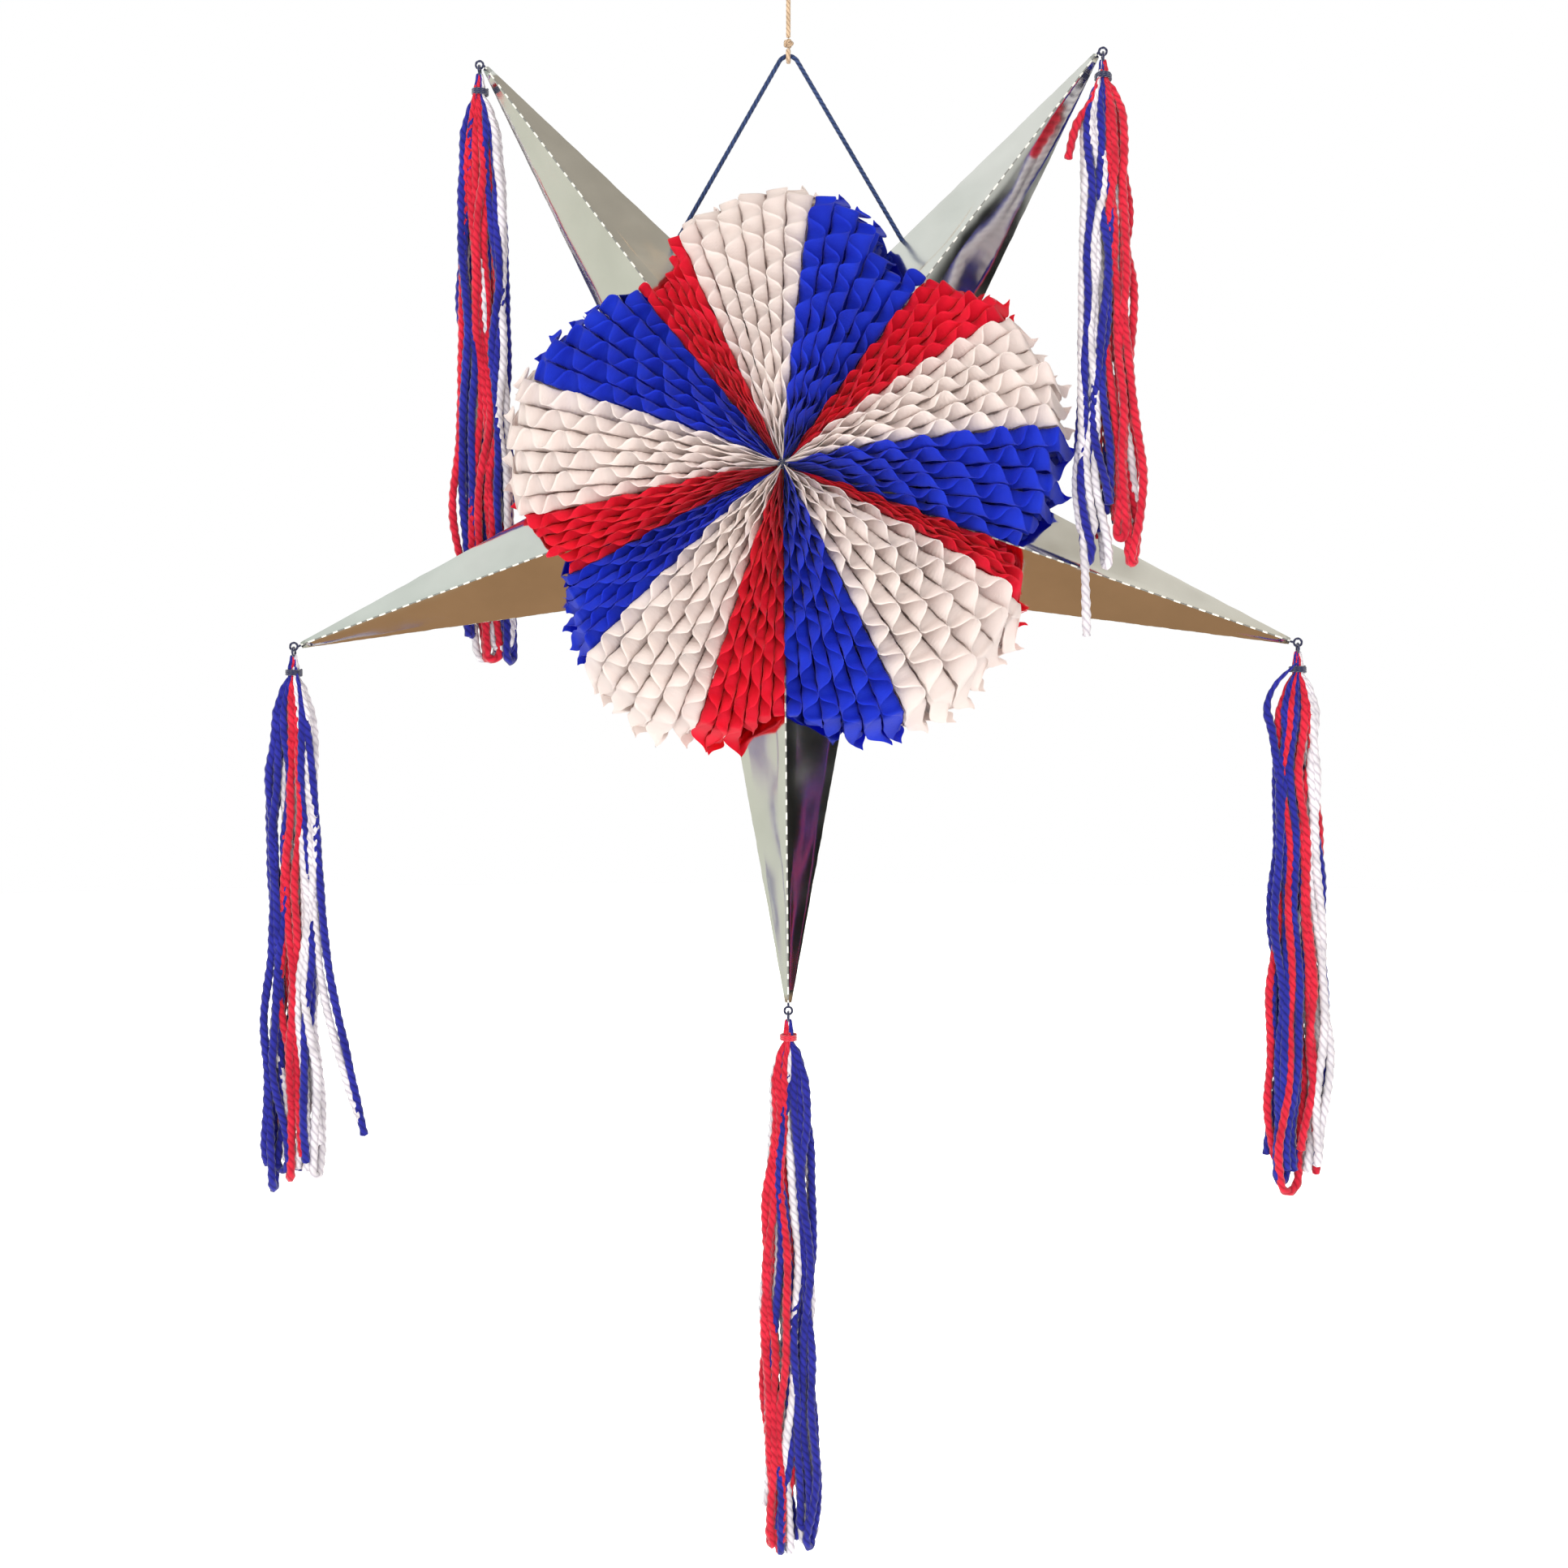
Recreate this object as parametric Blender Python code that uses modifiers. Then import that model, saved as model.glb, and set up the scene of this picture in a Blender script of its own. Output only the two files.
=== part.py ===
"""A hanging star pinata: a candy box with five mirror-card cones, a honeycomb tissue rosette in
three colours, yarn tassels on the tips and a cord bridle on a string.

Metres, +Z up. The origin is where a hook holds the string's loop. X runs across the star, to the
right seen from its front, and the front of the star faces -Y.
"""

import math

import bmesh
import bpy
from mathutils import Matrix, Vector

# Clearance between pieces that touch
GAP = 0.0003

# Hanging string: the loop over the hook, the twist knot, the run down and the eye round the bridle
STRING_RADIUS = 0.0013
LOOP_RADIUS = 0.009
TWIST_KNOT_RADIUS = 0.003
EYE_KNOT_RADIUS = 0.0026
EYE_CLEARANCE = 0.00045
HOOK_TO_APEX = 0.075

# Bridle: the cord from cone to cone over the apex
BRIDLE_RADIUS = 0.0013
BRIDLE_RISE = 0.246
BRIDLE_BEND = 0.006
BRIDLE_ALONG_CONE = 0.151
BRIDLE_HOLE_RADIUS = 0.0024
BRIDLE_TUCK = 0.007
BRIDLE_RUN_SHARES = (0.02, 0.3, 0.55, 0.8)
BRIDLE_BEND_STEPS = 6
STOPPER_RADIUS = 0.0034
BRIDLE_SLOT = (0.0056, 0.020, 0.040)
BRIDLE_SLOT_SHIFT = 0.016

# Candy box
BOX_APOTHEM = 0.0627
BOX_HALF_DEPTH = 0.0455
BOARD = 0.0016
OPENING_SIZE = (0.066, 0.046)
OPENING_DROP = 0.003
FLAP_OVERLAP = 0.004
FLAP_CORNER = 0.005

# Cones
TIP_RADIUS = 0.300
TIP_HALF = 0.0021
CARD = 0.0005
CONE_SIDE_CLEARANCE = 0.0005
TISSUE_CLEARANCE = 0.0006

# Tissue rosette: the rim lies furthest out in the middle of a lobe, and nearest at the cones
RIM_AT_CONE = 0.146
LOBE_RISE = 0.021
FRONT_DEPTH = 0.086
BACK_DEPTH = 0.0905
LOBE_CREASE = 0.14
PILLOW_POWER = 2.5
HUB_RADIUS = 0.0065
DIMPLE = 0.24
DIMPLE_WIDTH = 0.13
BOX_CLEARANCE = 0.0017
FLAP_CLEARANCE = 0.0045
CENTRE_KNOT_RADIUS = 0.0048
COLOURS = ("red", "white", "blue")
PAD_STATIONS = 4
PAD_SIDE_GAP = 0.00018
FRONT_STEPS = 11
BACK_STEPS = 8

# Thread loops on the tips, and the tassels
THREAD_RADIUS = 0.00065
TIP_LOOP_RADIUS = 0.0022
TIP_LOOP_STANDOFF = 0.0026
TIP_KNOT_RADIUS = 0.0017
TIP_KNOT_DEPTH = 0.009
TIP_STEM_RADIUS = 0.00063
LINK_RADIUS = 0.0026
EYELET_RADIUS = 0.00115
TASSEL_NECK = 0.0034
WRAP_THICKNESS = 0.0016
WRAP_SPAN = (0.0075, 0.0115)
# Sections of a tassel as (distance below its eyelet, half width, half thickness), and the last three
# as (share of the length, half width, half thickness)
TASSEL_HEAD = [
    (-0.0024, 0.0010, 0.0006),
    (-0.0017, 0.0019, 0.0010),
    (0.0000, 0.0024, 0.0010),
    (0.0026, 0.0027, 0.0012),
    (0.0060, TASSEL_NECK, TASSEL_NECK * 0.9),
    (0.0125, TASSEL_NECK, TASSEL_NECK),
    (0.0180, TASSEL_NECK * 1.35, TASSEL_NECK * 1.2),
    (0.0320, 0.0085, 0.0062),
    (0.0650, 0.0115, 0.0078),
    (0.1300, 0.0140, 0.0086),
]
TASSEL_TAIL = [(0.68, 0.0162, 0.0090), (0.92, 0.0165, 0.0090), (1.0, 0.0120, 0.0066)]
TASSEL_LENGTH = {"top_left": 0.342, "top_right": 0.297, "left": 0.312, "right": 0.310, "bottom": 0.308}
TASSEL_LEAN = {"top_left": 6.4, "top_right": -6.4, "left": 0.0, "right": 0.0, "bottom": 0.0}

# Star tips and lobes, as angles in the XZ plane from +X towards +Z
TIPS = {"top_left": 126, "top_right": 54, "left": 198, "right": 342, "bottom": 270}
LOBES = {"top": 90, "right": 18, "lower_right": 306, "lower_left": 234, "left": 162}
STAR_POINTS = 5
SECTOR = 360 / STAR_POINTS

# Colour, roughness and metallic value of each material
LOOKS = {
    "mirror_card": ((0.72, 0.72, 0.68), 0.12, 1.0),
    "board": ((0.55, 0.43, 0.30), 0.85, 0.0),
    "tissue_red": ((0.72, 0.02, 0.07), 0.8, 0.0),
    "tissue_white": ((0.86, 0.79, 0.76), 0.8, 0.0),
    "tissue_blue": ((0.03, 0.05, 0.55), 0.8, 0.0),
    "yarn": ((0.20, 0.08, 0.42), 0.9, 0.0),
    "navy_thread": ((0.03, 0.04, 0.14), 0.8, 0.0),
    "red_thread": ((0.65, 0.03, 0.07), 0.8, 0.0),
    "bridle": ((0.04, 0.07, 0.22), 0.7, 0.0),
    "string": ((0.62, 0.48, 0.34), 0.8, 0.0),
}

# Places worked out from the sizes
STAR_Z = -HOOK_TO_APEX - BRIDLE_RISE
LOOP_Z = STRING_RADIUS - LOOP_RADIUS
LOOP_BOTTOM = LOOP_Z - LOOP_RADIUS - STRING_RADIUS
TWIST_KNOT_Z = LOOP_BOTTOM - GAP - TWIST_KNOT_RADIUS
EYE_RADIUS = STRING_RADIUS + BRIDLE_RADIUS + EYE_CLEARANCE
EYE_KNOT_Z = -HOOK_TO_APEX + EYE_RADIUS + STRING_RADIUS + GAP + EYE_KNOT_RADIUS
BOX_HALF_SIDE = BOX_APOTHEM * math.tan(math.pi / STAR_POINTS)
BOX_CORNER = BOX_APOTHEM / math.cos(math.pi / STAR_POINTS)
CONE_BASE = BOX_APOTHEM + GAP
CONE_BASE_HALF = min(BOX_HALF_SIDE, BOX_HALF_DEPTH) - CONE_SIDE_CLEARANCE
CONE_SLOPE = (CONE_BASE_HALF - TIP_HALF) / (TIP_RADIUS - CONE_BASE)
PAD_INNER_RADIUS = BOX_CORNER + BOX_CLEARANCE
PAD_FACE_Y = BOX_HALF_DEPTH + GAP
FLAP_HALF_WIDTH = OPENING_SIZE[0] / 2 + FLAP_OVERLAP
FLAP_LOWEST = OPENING_SIZE[1] / 2 + FLAP_OVERLAP + OPENING_DROP
FLAP_REACH = math.hypot(FLAP_HALF_WIDTH, FLAP_LOWEST)
BACK_OPEN_RADIUS = FLAP_REACH + FLAP_CLEARANCE


def clear_scene():
    for obj in list(bpy.data.objects):
        bpy.data.objects.remove(obj, do_unlink=True)


def new_collection(name, hidden=False):
    collection = bpy.data.collections.new(name)
    collection.hide_render = hidden
    bpy.context.scene.collection.children.link(collection)
    return collection


clear_scene()
PARTS = new_collection("star_pinata")
CUTTERS = new_collection("cutters", hidden=True)


def make_material(name):
    colour, roughness, metallic = LOOKS[name]
    material = bpy.data.materials.new(name)
    material.use_nodes = True
    shader = material.node_tree.nodes["Principled BSDF"]
    shader.inputs["Base Color"].default_value = (*colour, 1)
    shader.inputs["Roughness"].default_value = roughness
    shader.inputs["Metallic"].default_value = metallic
    return material


MATERIALS = {name: make_material(name) for name in LOOKS}


def add_object(name, bm, look=None, smooth=False):
    """Ends a bmesh as a named object, or as a cutter when it has no look."""
    bmesh.ops.recalc_face_normals(bm, faces=bm.faces)
    mesh = bpy.data.meshes.new(name)
    bm.to_mesh(mesh)
    bm.free()
    obj = bpy.data.objects.new(name, mesh)
    if look is None:
        obj.display_type = "WIRE"
        obj.hide_render = True
        CUTTERS.objects.link(obj)
        return obj
    mesh.materials.append(MATERIALS[look])
    PARTS.objects.link(obj)
    if smooth:
        mesh.shade_smooth()
    return obj


def cut(obj, cutter, operation="DIFFERENCE"):
    modifier = obj.modifiers.new(cutter.name, "BOOLEAN")
    modifier.operation = operation
    modifier.solver = "EXACT"
    modifier.object = cutter


def direction(angle):
    """The unit vector at an angle in degrees in the star's plane."""
    return Vector((math.cos(math.radians(angle)), 0, math.sin(math.radians(angle))))


def star_point(angle, radius, y=0.0):
    return direction(angle) * radius + Vector((0, y, STAR_Z))


def cone_half(along):
    """Half the diagonal of a cone's square section, at a distance from the star's centre."""
    return TIP_HALF + CONE_SLOPE * (TIP_RADIUS - along)


def pointing(axis, at):
    """Turns +Z to an axis in the XZ plane, keeps +Y, and moves to a point."""
    side = Vector((0, 1, 0)).cross(axis)
    turn = Matrix((side, Vector((0, 1, 0)), axis)).transposed().to_4x4()
    return Matrix.Translation(at) @ turn


# ------------------------------------------------------------------ basic shapes


def torus(bm, major, minor, normal, centre, steps=24, sides=8):
    """A ring made by spinning a circle about its normal."""
    ring = bmesh.ops.create_circle(bm, segments=sides, radius=minor)["verts"]
    edges = list({edge for vert in ring for edge in vert.link_edges})
    bmesh.ops.rotate(bm, verts=ring, cent=(0, 0, 0), matrix=Matrix.Rotation(math.pi / 2, 3, "X"))
    bmesh.ops.translate(bm, verts=ring, vec=(major, 0, 0))
    before = set(bm.verts) - set(ring)
    bmesh.ops.spin(
        bm, geom=edges, cent=(0, 0, 0), axis=(0, 0, 1), angle=2 * math.pi, steps=steps, use_merge=True
    )
    made = [vert for vert in bm.verts if vert not in before]
    bmesh.ops.remove_doubles(bm, verts=made, dist=1e-6)
    made = [vert for vert in bm.verts if vert not in before]
    turn = Vector((0, 0, 1)).rotation_difference(normal).to_matrix()
    bmesh.ops.rotate(bm, verts=made, cent=(0, 0, 0), matrix=turn)
    bmesh.ops.translate(bm, verts=made, vec=centre)


def ball(bm, radius, centre, segments=14, rings=9):
    made = bmesh.ops.create_uvsphere(bm, u_segments=segments, v_segments=rings, radius=radius)["verts"]
    bmesh.ops.translate(bm, verts=made, vec=centre)


def rod(bm, radius, low, high, segments=12):
    """A closed cylinder between two points."""
    low, high = Vector(low), Vector(high)
    length = (high - low).length
    turn = Vector((0, 0, 1)).rotation_difference(high - low).to_matrix().to_4x4()
    place = Matrix.Translation((low + high) / 2) @ turn
    bmesh.ops.create_cone(
        bm, cap_ends=True, segments=segments, radius1=radius, radius2=radius, depth=length, matrix=place
    )


def block(bm, size, place):
    bmesh.ops.create_cube(bm, size=1, matrix=place @ Matrix.Diagonal((*size, 1)))


def prism(bm, outline, y_low, y_high):
    """A flat outline of (x, z) points, extruded along Y."""
    face = bm.faces.new([bm.verts.new((x, y_low, z)) for x, z in outline])
    made = bmesh.ops.extrude_face_region(bm, geom=[face])["geom"]
    moved = [item for item in made if isinstance(item, bmesh.types.BMVert)]
    bmesh.ops.translate(bm, verts=moved, vec=(0, y_high - y_low, 0))


# ------------------------------------------------------------------ hanging string


def make_string():
    bm = bmesh.new()
    torus(bm, LOOP_RADIUS, STRING_RADIUS, Vector((0, 1, 0)), (0, 0, LOOP_Z), steps=32)
    add_object("hang_loop", bm, "string", smooth=True)

    bm = bmesh.new()
    ball(bm, TWIST_KNOT_RADIUS, (0, 0, TWIST_KNOT_Z))
    add_object("twist_knot", bm, "string", smooth=True)

    bm = bmesh.new()
    top = TWIST_KNOT_Z - TWIST_KNOT_RADIUS - GAP
    rod(bm, STRING_RADIUS, (0, 0, EYE_KNOT_Z + EYE_KNOT_RADIUS + GAP), (0, 0, top))
    add_object("hanging_string", bm, "string", smooth=True)

    bm = bmesh.new()
    ball(bm, EYE_KNOT_RADIUS, (0, 0, EYE_KNOT_Z))
    add_object("eye_knot", bm, "string", smooth=True)

    bm = bmesh.new()
    torus(bm, EYE_RADIUS, STRING_RADIUS, Vector((1, 0, 0)), (0, 0, -HOOK_TO_APEX), steps=20)
    add_object("string_eye", bm, "string", smooth=True)


# ------------------------------------------------------------------ bridle


def bridle_hole():
    """Where the cord goes through the right-hand cone: on the upper crease, as (x, z)."""
    angle = TIPS["top_right"]
    axis = direction(angle)
    upper = direction(angle + 90)
    centre = axis * BRIDLE_ALONG_CONE + upper * cone_half(BRIDLE_ALONG_CONE)
    return Vector((centre.x, 0, centre.z + STAR_Z))


def bridle_run():
    """The right-hand strand: its start on the bend at the apex, its direction and its hole."""
    bend_centre = Vector((0, 0, -HOOK_TO_APEX - BRIDLE_BEND))
    to_hole = bridle_hole() - bend_centre
    reach = to_hole.length
    lean = math.atan2(to_hole.x, -to_hole.z) - math.asin(BRIDLE_BEND / reach)
    along = Vector((math.sin(lean), 0, -math.cos(lean)))
    start = bend_centre + Vector((math.cos(lean), 0, math.sin(lean))) * BRIDLE_BEND
    return start, along, lean


def bridle_points():
    """The cord's centreline, from inside the left cone over the apex into the right cone."""
    start, along, lean = bridle_run()
    hole = bridle_hole()
    inside = hole + inward() * BRIDLE_TUCK
    arc = []
    for step in range(BRIDLE_BEND_STEPS):
        turn = lean + (math.pi / 2 - lean) * step / BRIDLE_BEND_STEPS
        offset = Vector((math.cos(turn), 0, math.sin(turn))) * BRIDLE_BEND
        arc.append(Vector((0, 0, -HOOK_TO_APEX - BRIDLE_BEND)) + offset)
    run = [hole.lerp(start, share) for share in BRIDLE_RUN_SHARES]
    half = [inside, hole, *run, *arc]
    mirrored = [Vector((-point.x, 0, point.z)) for point in reversed(half)]
    return half + [Vector((0, 0, -HOOK_TO_APEX))] + mirrored


def inward():
    """From the hole in the right-hand cone's upper crease straight in towards its axis."""
    return -direction(TIPS["top_right"] + 90)


def make_bridle():
    curve = bpy.data.curves.new("bridle_cord", "CURVE")
    curve.dimensions = "3D"
    curve.bevel_depth = BRIDLE_RADIUS
    curve.bevel_resolution = 2
    curve.use_fill_caps = True
    spline = curve.splines.new("POLY")
    points = bridle_points()
    spline.points.add(len(points) - 1)
    for target, point in zip(spline.points, points):
        target.co = (*point, 1)
    cord = bpy.data.objects.new("bridle_cord", curve)
    curve.materials.append(MATERIALS["bridle"])
    PARTS.objects.link(cord)

    for side, sign in (("left", -1), ("right", 1)):
        centre = bridle_hole() + inward() * (BRIDLE_TUCK + GAP + STOPPER_RADIUS)
        bm = bmesh.new()
        ball(bm, STOPPER_RADIUS, (sign * centre.x, 0, centre.z))
        add_object(f"bridle_knot_{side}", bm, "bridle", smooth=True)


# ------------------------------------------------------------------ candy box


def pentagon(apothem):
    """The outline of the box, with a side facing each cone."""
    corner = apothem / math.cos(math.pi / STAR_POINTS)
    turns = [TIPS["bottom"] + SECTOR * (k + 0.5) for k in range(STAR_POINTS)]
    return [(direction(turn).x * corner, direction(turn).z * corner + STAR_Z) for turn in turns]


def make_box():
    bm = bmesh.new()
    prism(bm, pentagon(BOX_APOTHEM), -BOX_HALF_DEPTH, -BOX_HALF_DEPTH + BOARD)
    add_object("box_front_panel", bm, "board")

    wall_end = BOX_HALF_DEPTH - BOARD - GAP
    bm = bmesh.new()
    prism(bm, pentagon(BOX_APOTHEM), -wall_end, wall_end)
    wall = add_object("box_side_wall", bm, "board")
    bm = bmesh.new()
    prism(bm, pentagon(BOX_APOTHEM - BOARD), -2 * wall_end, 2 * wall_end)
    cut(wall, add_object("box_hollow", bm))

    bm = bmesh.new()
    prism(bm, pentagon(BOX_APOTHEM), BOX_HALF_DEPTH - BOARD, BOX_HALF_DEPTH)
    back = add_object("box_back_panel", bm, "board")
    bm = bmesh.new()
    width, height = OPENING_SIZE
    place = Matrix.Translation((0, BOX_HALF_DEPTH, STAR_Z - OPENING_DROP))
    block(bm, (width, 4 * BOARD, height), place)
    cut(back, add_object("fill_opening", bm))


def flap_outline():
    """The fill flap: square corners at its hinge, cut corners at its free edge."""
    half = OPENING_SIZE[0] / 2 + FLAP_OVERLAP
    top = STAR_Z - OPENING_DROP + OPENING_SIZE[1] / 2 + FLAP_OVERLAP
    low = top - OPENING_SIZE[1] - 2 * FLAP_OVERLAP
    corner = FLAP_CORNER
    return [(-half, top), (-half, low + corner), (-half + corner, low), (half - corner, low),
            (half, low + corner), (half, top)]


def make_flap():
    bm = bmesh.new()
    inner = BOX_HALF_DEPTH + GAP
    prism(bm, flap_outline(), inner, inner + BOARD)
    flap = add_object("fill_flap", bm, "board")
    hinge = Vector((0, inner, flap_outline()[0][1]))
    flap.data.transform(Matrix.Translation(-hinge))
    flap.location = hinge


# ------------------------------------------------------------------ cones


def cone_solid(bm, angle, clearance=0.0):
    """A closed four-sided cone, or its shape with a clearance all round."""
    near, far = CONE_BASE - 2 * clearance, TIP_RADIUS + 2 * clearance
    grow = clearance * math.sqrt(2)
    half_near, half_far = cone_half(near) + grow, cone_half(far) + grow
    place = pointing(direction(angle), star_point(angle, (near + far) / 2))
    return bmesh.ops.create_cone(
        bm, cap_ends=True, segments=4, radius1=half_near, radius2=half_far, depth=far - near, matrix=place
    )


def make_cone(tip, angle):
    bm = bmesh.new()
    cone_solid(bm, angle)
    ends = [face for face in bm.faces if abs(face.normal.dot(direction(angle))) > 0.9]
    bmesh.ops.delete(bm, geom=ends, context="FACES_ONLY")
    cone = add_object(f"cone_{tip}", bm, "mirror_card")
    shell = cone.modifiers.new("card", "SOLIDIFY")
    shell.thickness = CARD
    shell.offset = -1
    shell.use_even_offset = True
    if tip in ("top_left", "top_right"):
        side = -1 if tip == "top_left" else 1
        hole = bridle_hole()
        entry = Vector((side * hole.x, 0, hole.z))
        tuck = Vector((side * inward().x, 0, inward().z)) * 2 * BRIDLE_TUCK
        bm = bmesh.new()
        rod(bm, BRIDLE_HOLE_RADIUS, entry - tuck, entry + tuck)
        cut(cone, add_object(f"bridle_hole_{tip}", bm))
    return cone


# ------------------------------------------------------------------ tissue rosette


def lobe_wave(from_cone):
    """0 at a cone, 1 in the middle of a lobe, for an angle in degrees from the cone."""
    return math.sin(math.pi * from_cone / SECTOR)


def rim_radius(from_cone):
    return RIM_AT_CONE + LOBE_RISE * lobe_wave(from_cone)


def pad_depth(full, from_cone):
    return full * (1 - LOBE_CREASE * (1 - lobe_wave(from_cone)))


def pillow(share):
    """A point on the pillow's outline: (share of the rim radius, share of the depth)."""
    turn = share * math.pi / 2
    return math.sin(turn) ** (2 / PILLOW_POWER), math.cos(turn) ** (2 / PILLOW_POWER)


def pad_section(from_cone):
    """The pad's section as (radius, y) points: round the outside front to back, then the inside."""
    rim = rim_radius(from_cone)
    front, back = pad_depth(FRONT_DEPTH, from_cone), pad_depth(BACK_DEPTH, from_cone)
    hub_share = math.asin((HUB_RADIUS / rim) ** (PILLOW_POWER / 2)) * 2 / math.pi
    open_share = math.asin((BACK_OPEN_RADIUS / rim) ** (PILLOW_POWER / 2)) * 2 / math.pi
    outline = []
    for step in range(FRONT_STEPS):
        across, out = pillow(hub_share + (1 - hub_share) * step / FRONT_STEPS)
        dimple = DIMPLE * math.exp(-((across / DIMPLE_WIDTH) ** 2))
        outline.append((across * rim, -front * out * (1 - dimple)))
    for step in range(BACK_STEPS + 1):
        across, out = pillow(1 - (1 - open_share) * (step + 0.5) / (BACK_STEPS + 0.5))
        outline.append((across * rim, back * out))
    outline.append((BACK_OPEN_RADIUS, PAD_FACE_Y))
    outline.append((PAD_INNER_RADIUS, PAD_FACE_Y))
    outline.append((PAD_INNER_RADIUS, -PAD_FACE_Y))
    outline.append((HUB_RADIUS, -PAD_FACE_Y))
    return outline


def pad_mesh(bm, cone_angle, start):
    """A third of a lobe, lofted clockwise through sections from the cone on the lobe's left."""
    third = SECTOR / len(COLOURS)
    rows = []
    for station in range(PAD_STATIONS):
        share = station / (PAD_STATIONS - 1)
        row = []
        for radius, y in pad_section(start + third * share):
            edge = math.degrees(math.asin(PAD_SIDE_GAP / radius))
            turn = start + edge + (third - 2 * edge) * share
            row.append(bm.verts.new(star_point(cone_angle - turn, radius, y)))
        rows.append(row)
    count = len(rows[0])
    for first, second in zip(rows, rows[1:]):
        for k in range(count):
            after = (k + 1) % count
            bm.faces.new((first[k], first[after], second[after], second[k]))
    bm.faces.new(rows[0])
    bm.faces.new(list(reversed(rows[-1])))


def cone_cutters():
    cutters = {}
    for tip, angle in TIPS.items():
        bm = bmesh.new()
        cone_solid(bm, angle, TISSUE_CLEARANCE)
        cutters[angle] = add_object(f"cone_space_{tip}", bm)
    return cutters


def bridle_slots():
    """Room for each strand of the bridle, and for its swing, where it leaves a cone's crease."""
    slots = {}
    along = bridle_run()[1]
    for side in (-1, 1):
        width, depth, length = BRIDLE_SLOT
        axis = Vector((-side * along.x, 0, -along.z))
        hole = bridle_hole()
        centre = Vector((side * hole.x, 0, hole.z)) + axis * BRIDLE_SLOT_SHIFT
        bm = bmesh.new()
        block(bm, (width, depth, length), pointing(axis, centre))
        slots[side] = add_object(f"bridle_slot_{side + 1}", bm)
    return slots


def make_tissue():
    cutters = cone_cutters()
    slots = bridle_slots()
    for lobe, middle in LOBES.items():
        cone_angle = middle + SECTOR / 2
        for index, colour in enumerate(COLOURS):
            bm = bmesh.new()
            pad_mesh(bm, cone_angle, index * SECTOR / len(COLOURS))
            pad = add_object(f"tissue_{colour}_{lobe}", bm, f"tissue_{colour}", smooth=False)
            cut(pad, cutters[cone_angle % 360])
            cut(pad, cutters[(cone_angle - SECTOR) % 360])
            if lobe == "top" and colour != "white":
                cut(pad, slots[-1 if colour == "red" else 1])
    bm = bmesh.new()
    ball(bm, CENTRE_KNOT_RADIUS, (0, -PAD_FACE_Y - CENTRE_KNOT_RADIUS, STAR_Z))
    add_object("centre_knot", bm, "navy_thread", smooth=True)


# ------------------------------------------------------------------ tip loops and tassels


def tip_loop_centre(tip):
    """The thread loop stands just outside the tip, on its outer side."""
    angle = TIPS[tip]
    mouth = star_point(angle, TIP_RADIUS + TIP_LOOP_STANDOFF)
    outer = direction(angle)
    sideways = Vector((math.copysign(1, outer.x), 0, 0)) if tip != "bottom" else outer
    return mouth + sideways * TIP_LOOP_RADIUS, mouth


def make_tip_loop(tip, angle):
    centre, mouth = tip_loop_centre(tip)
    inner_end = star_point(angle, TIP_RADIUS - TIP_KNOT_DEPTH)
    bm = bmesh.new()
    torus(bm, TIP_LOOP_RADIUS, THREAD_RADIUS, Vector((0, 1, 0)), centre, steps=20)
    loop = add_object(f"tip_loop_{tip}", bm, "navy_thread", smooth=True)
    bm = bmesh.new()
    rod(bm, TIP_STEM_RADIUS, inner_end, mouth, segments=10)
    cut(loop, add_object(f"tip_stem_{tip}", bm), "UNION")
    bm = bmesh.new()
    ball(bm, TIP_KNOT_RADIUS, inner_end, segments=12, rings=7)
    cut(loop, add_object(f"tip_knot_{tip}", bm), "UNION")


def tassel_sections(length):
    """(distance below the eyelet, half width, half thickness) down the tassel."""
    tail = [(length * share, width, thick) for share, width, thick in TASSEL_TAIL]
    return TASSEL_HEAD + tail


def tassel_skirt(bm, length, sides=16):
    rows = []
    for below, half_width, half_thick in tassel_sections(length):
        row = []
        for k in range(sides):
            turn = 2 * math.pi * k / sides
            row.append(bm.verts.new((half_width * math.cos(turn), half_thick * math.sin(turn), -below)))
        rows.append(row)
    for first, second in zip(rows, rows[1:]):
        for k in range(sides):
            after = (k + 1) % sides
            bm.faces.new((first[k], second[k], second[after], first[after]))
    bm.faces.new(rows[0])
    bm.faces.new(list(reversed(rows[-1])))


def hung(obj, tip, drop):
    """Places a piece modelled about its hanging point: leaned about the tip loop's lowest point."""
    centre, mouth = tip_loop_centre(tip)
    bar = centre - Vector((0, 0, TIP_LOOP_RADIUS))
    lean = Matrix.Rotation(math.radians(TASSEL_LEAN[tip]), 4, "X")
    obj.matrix_world = Matrix.Translation(bar) @ lean @ Matrix.Translation((0, 0, -drop))


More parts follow.
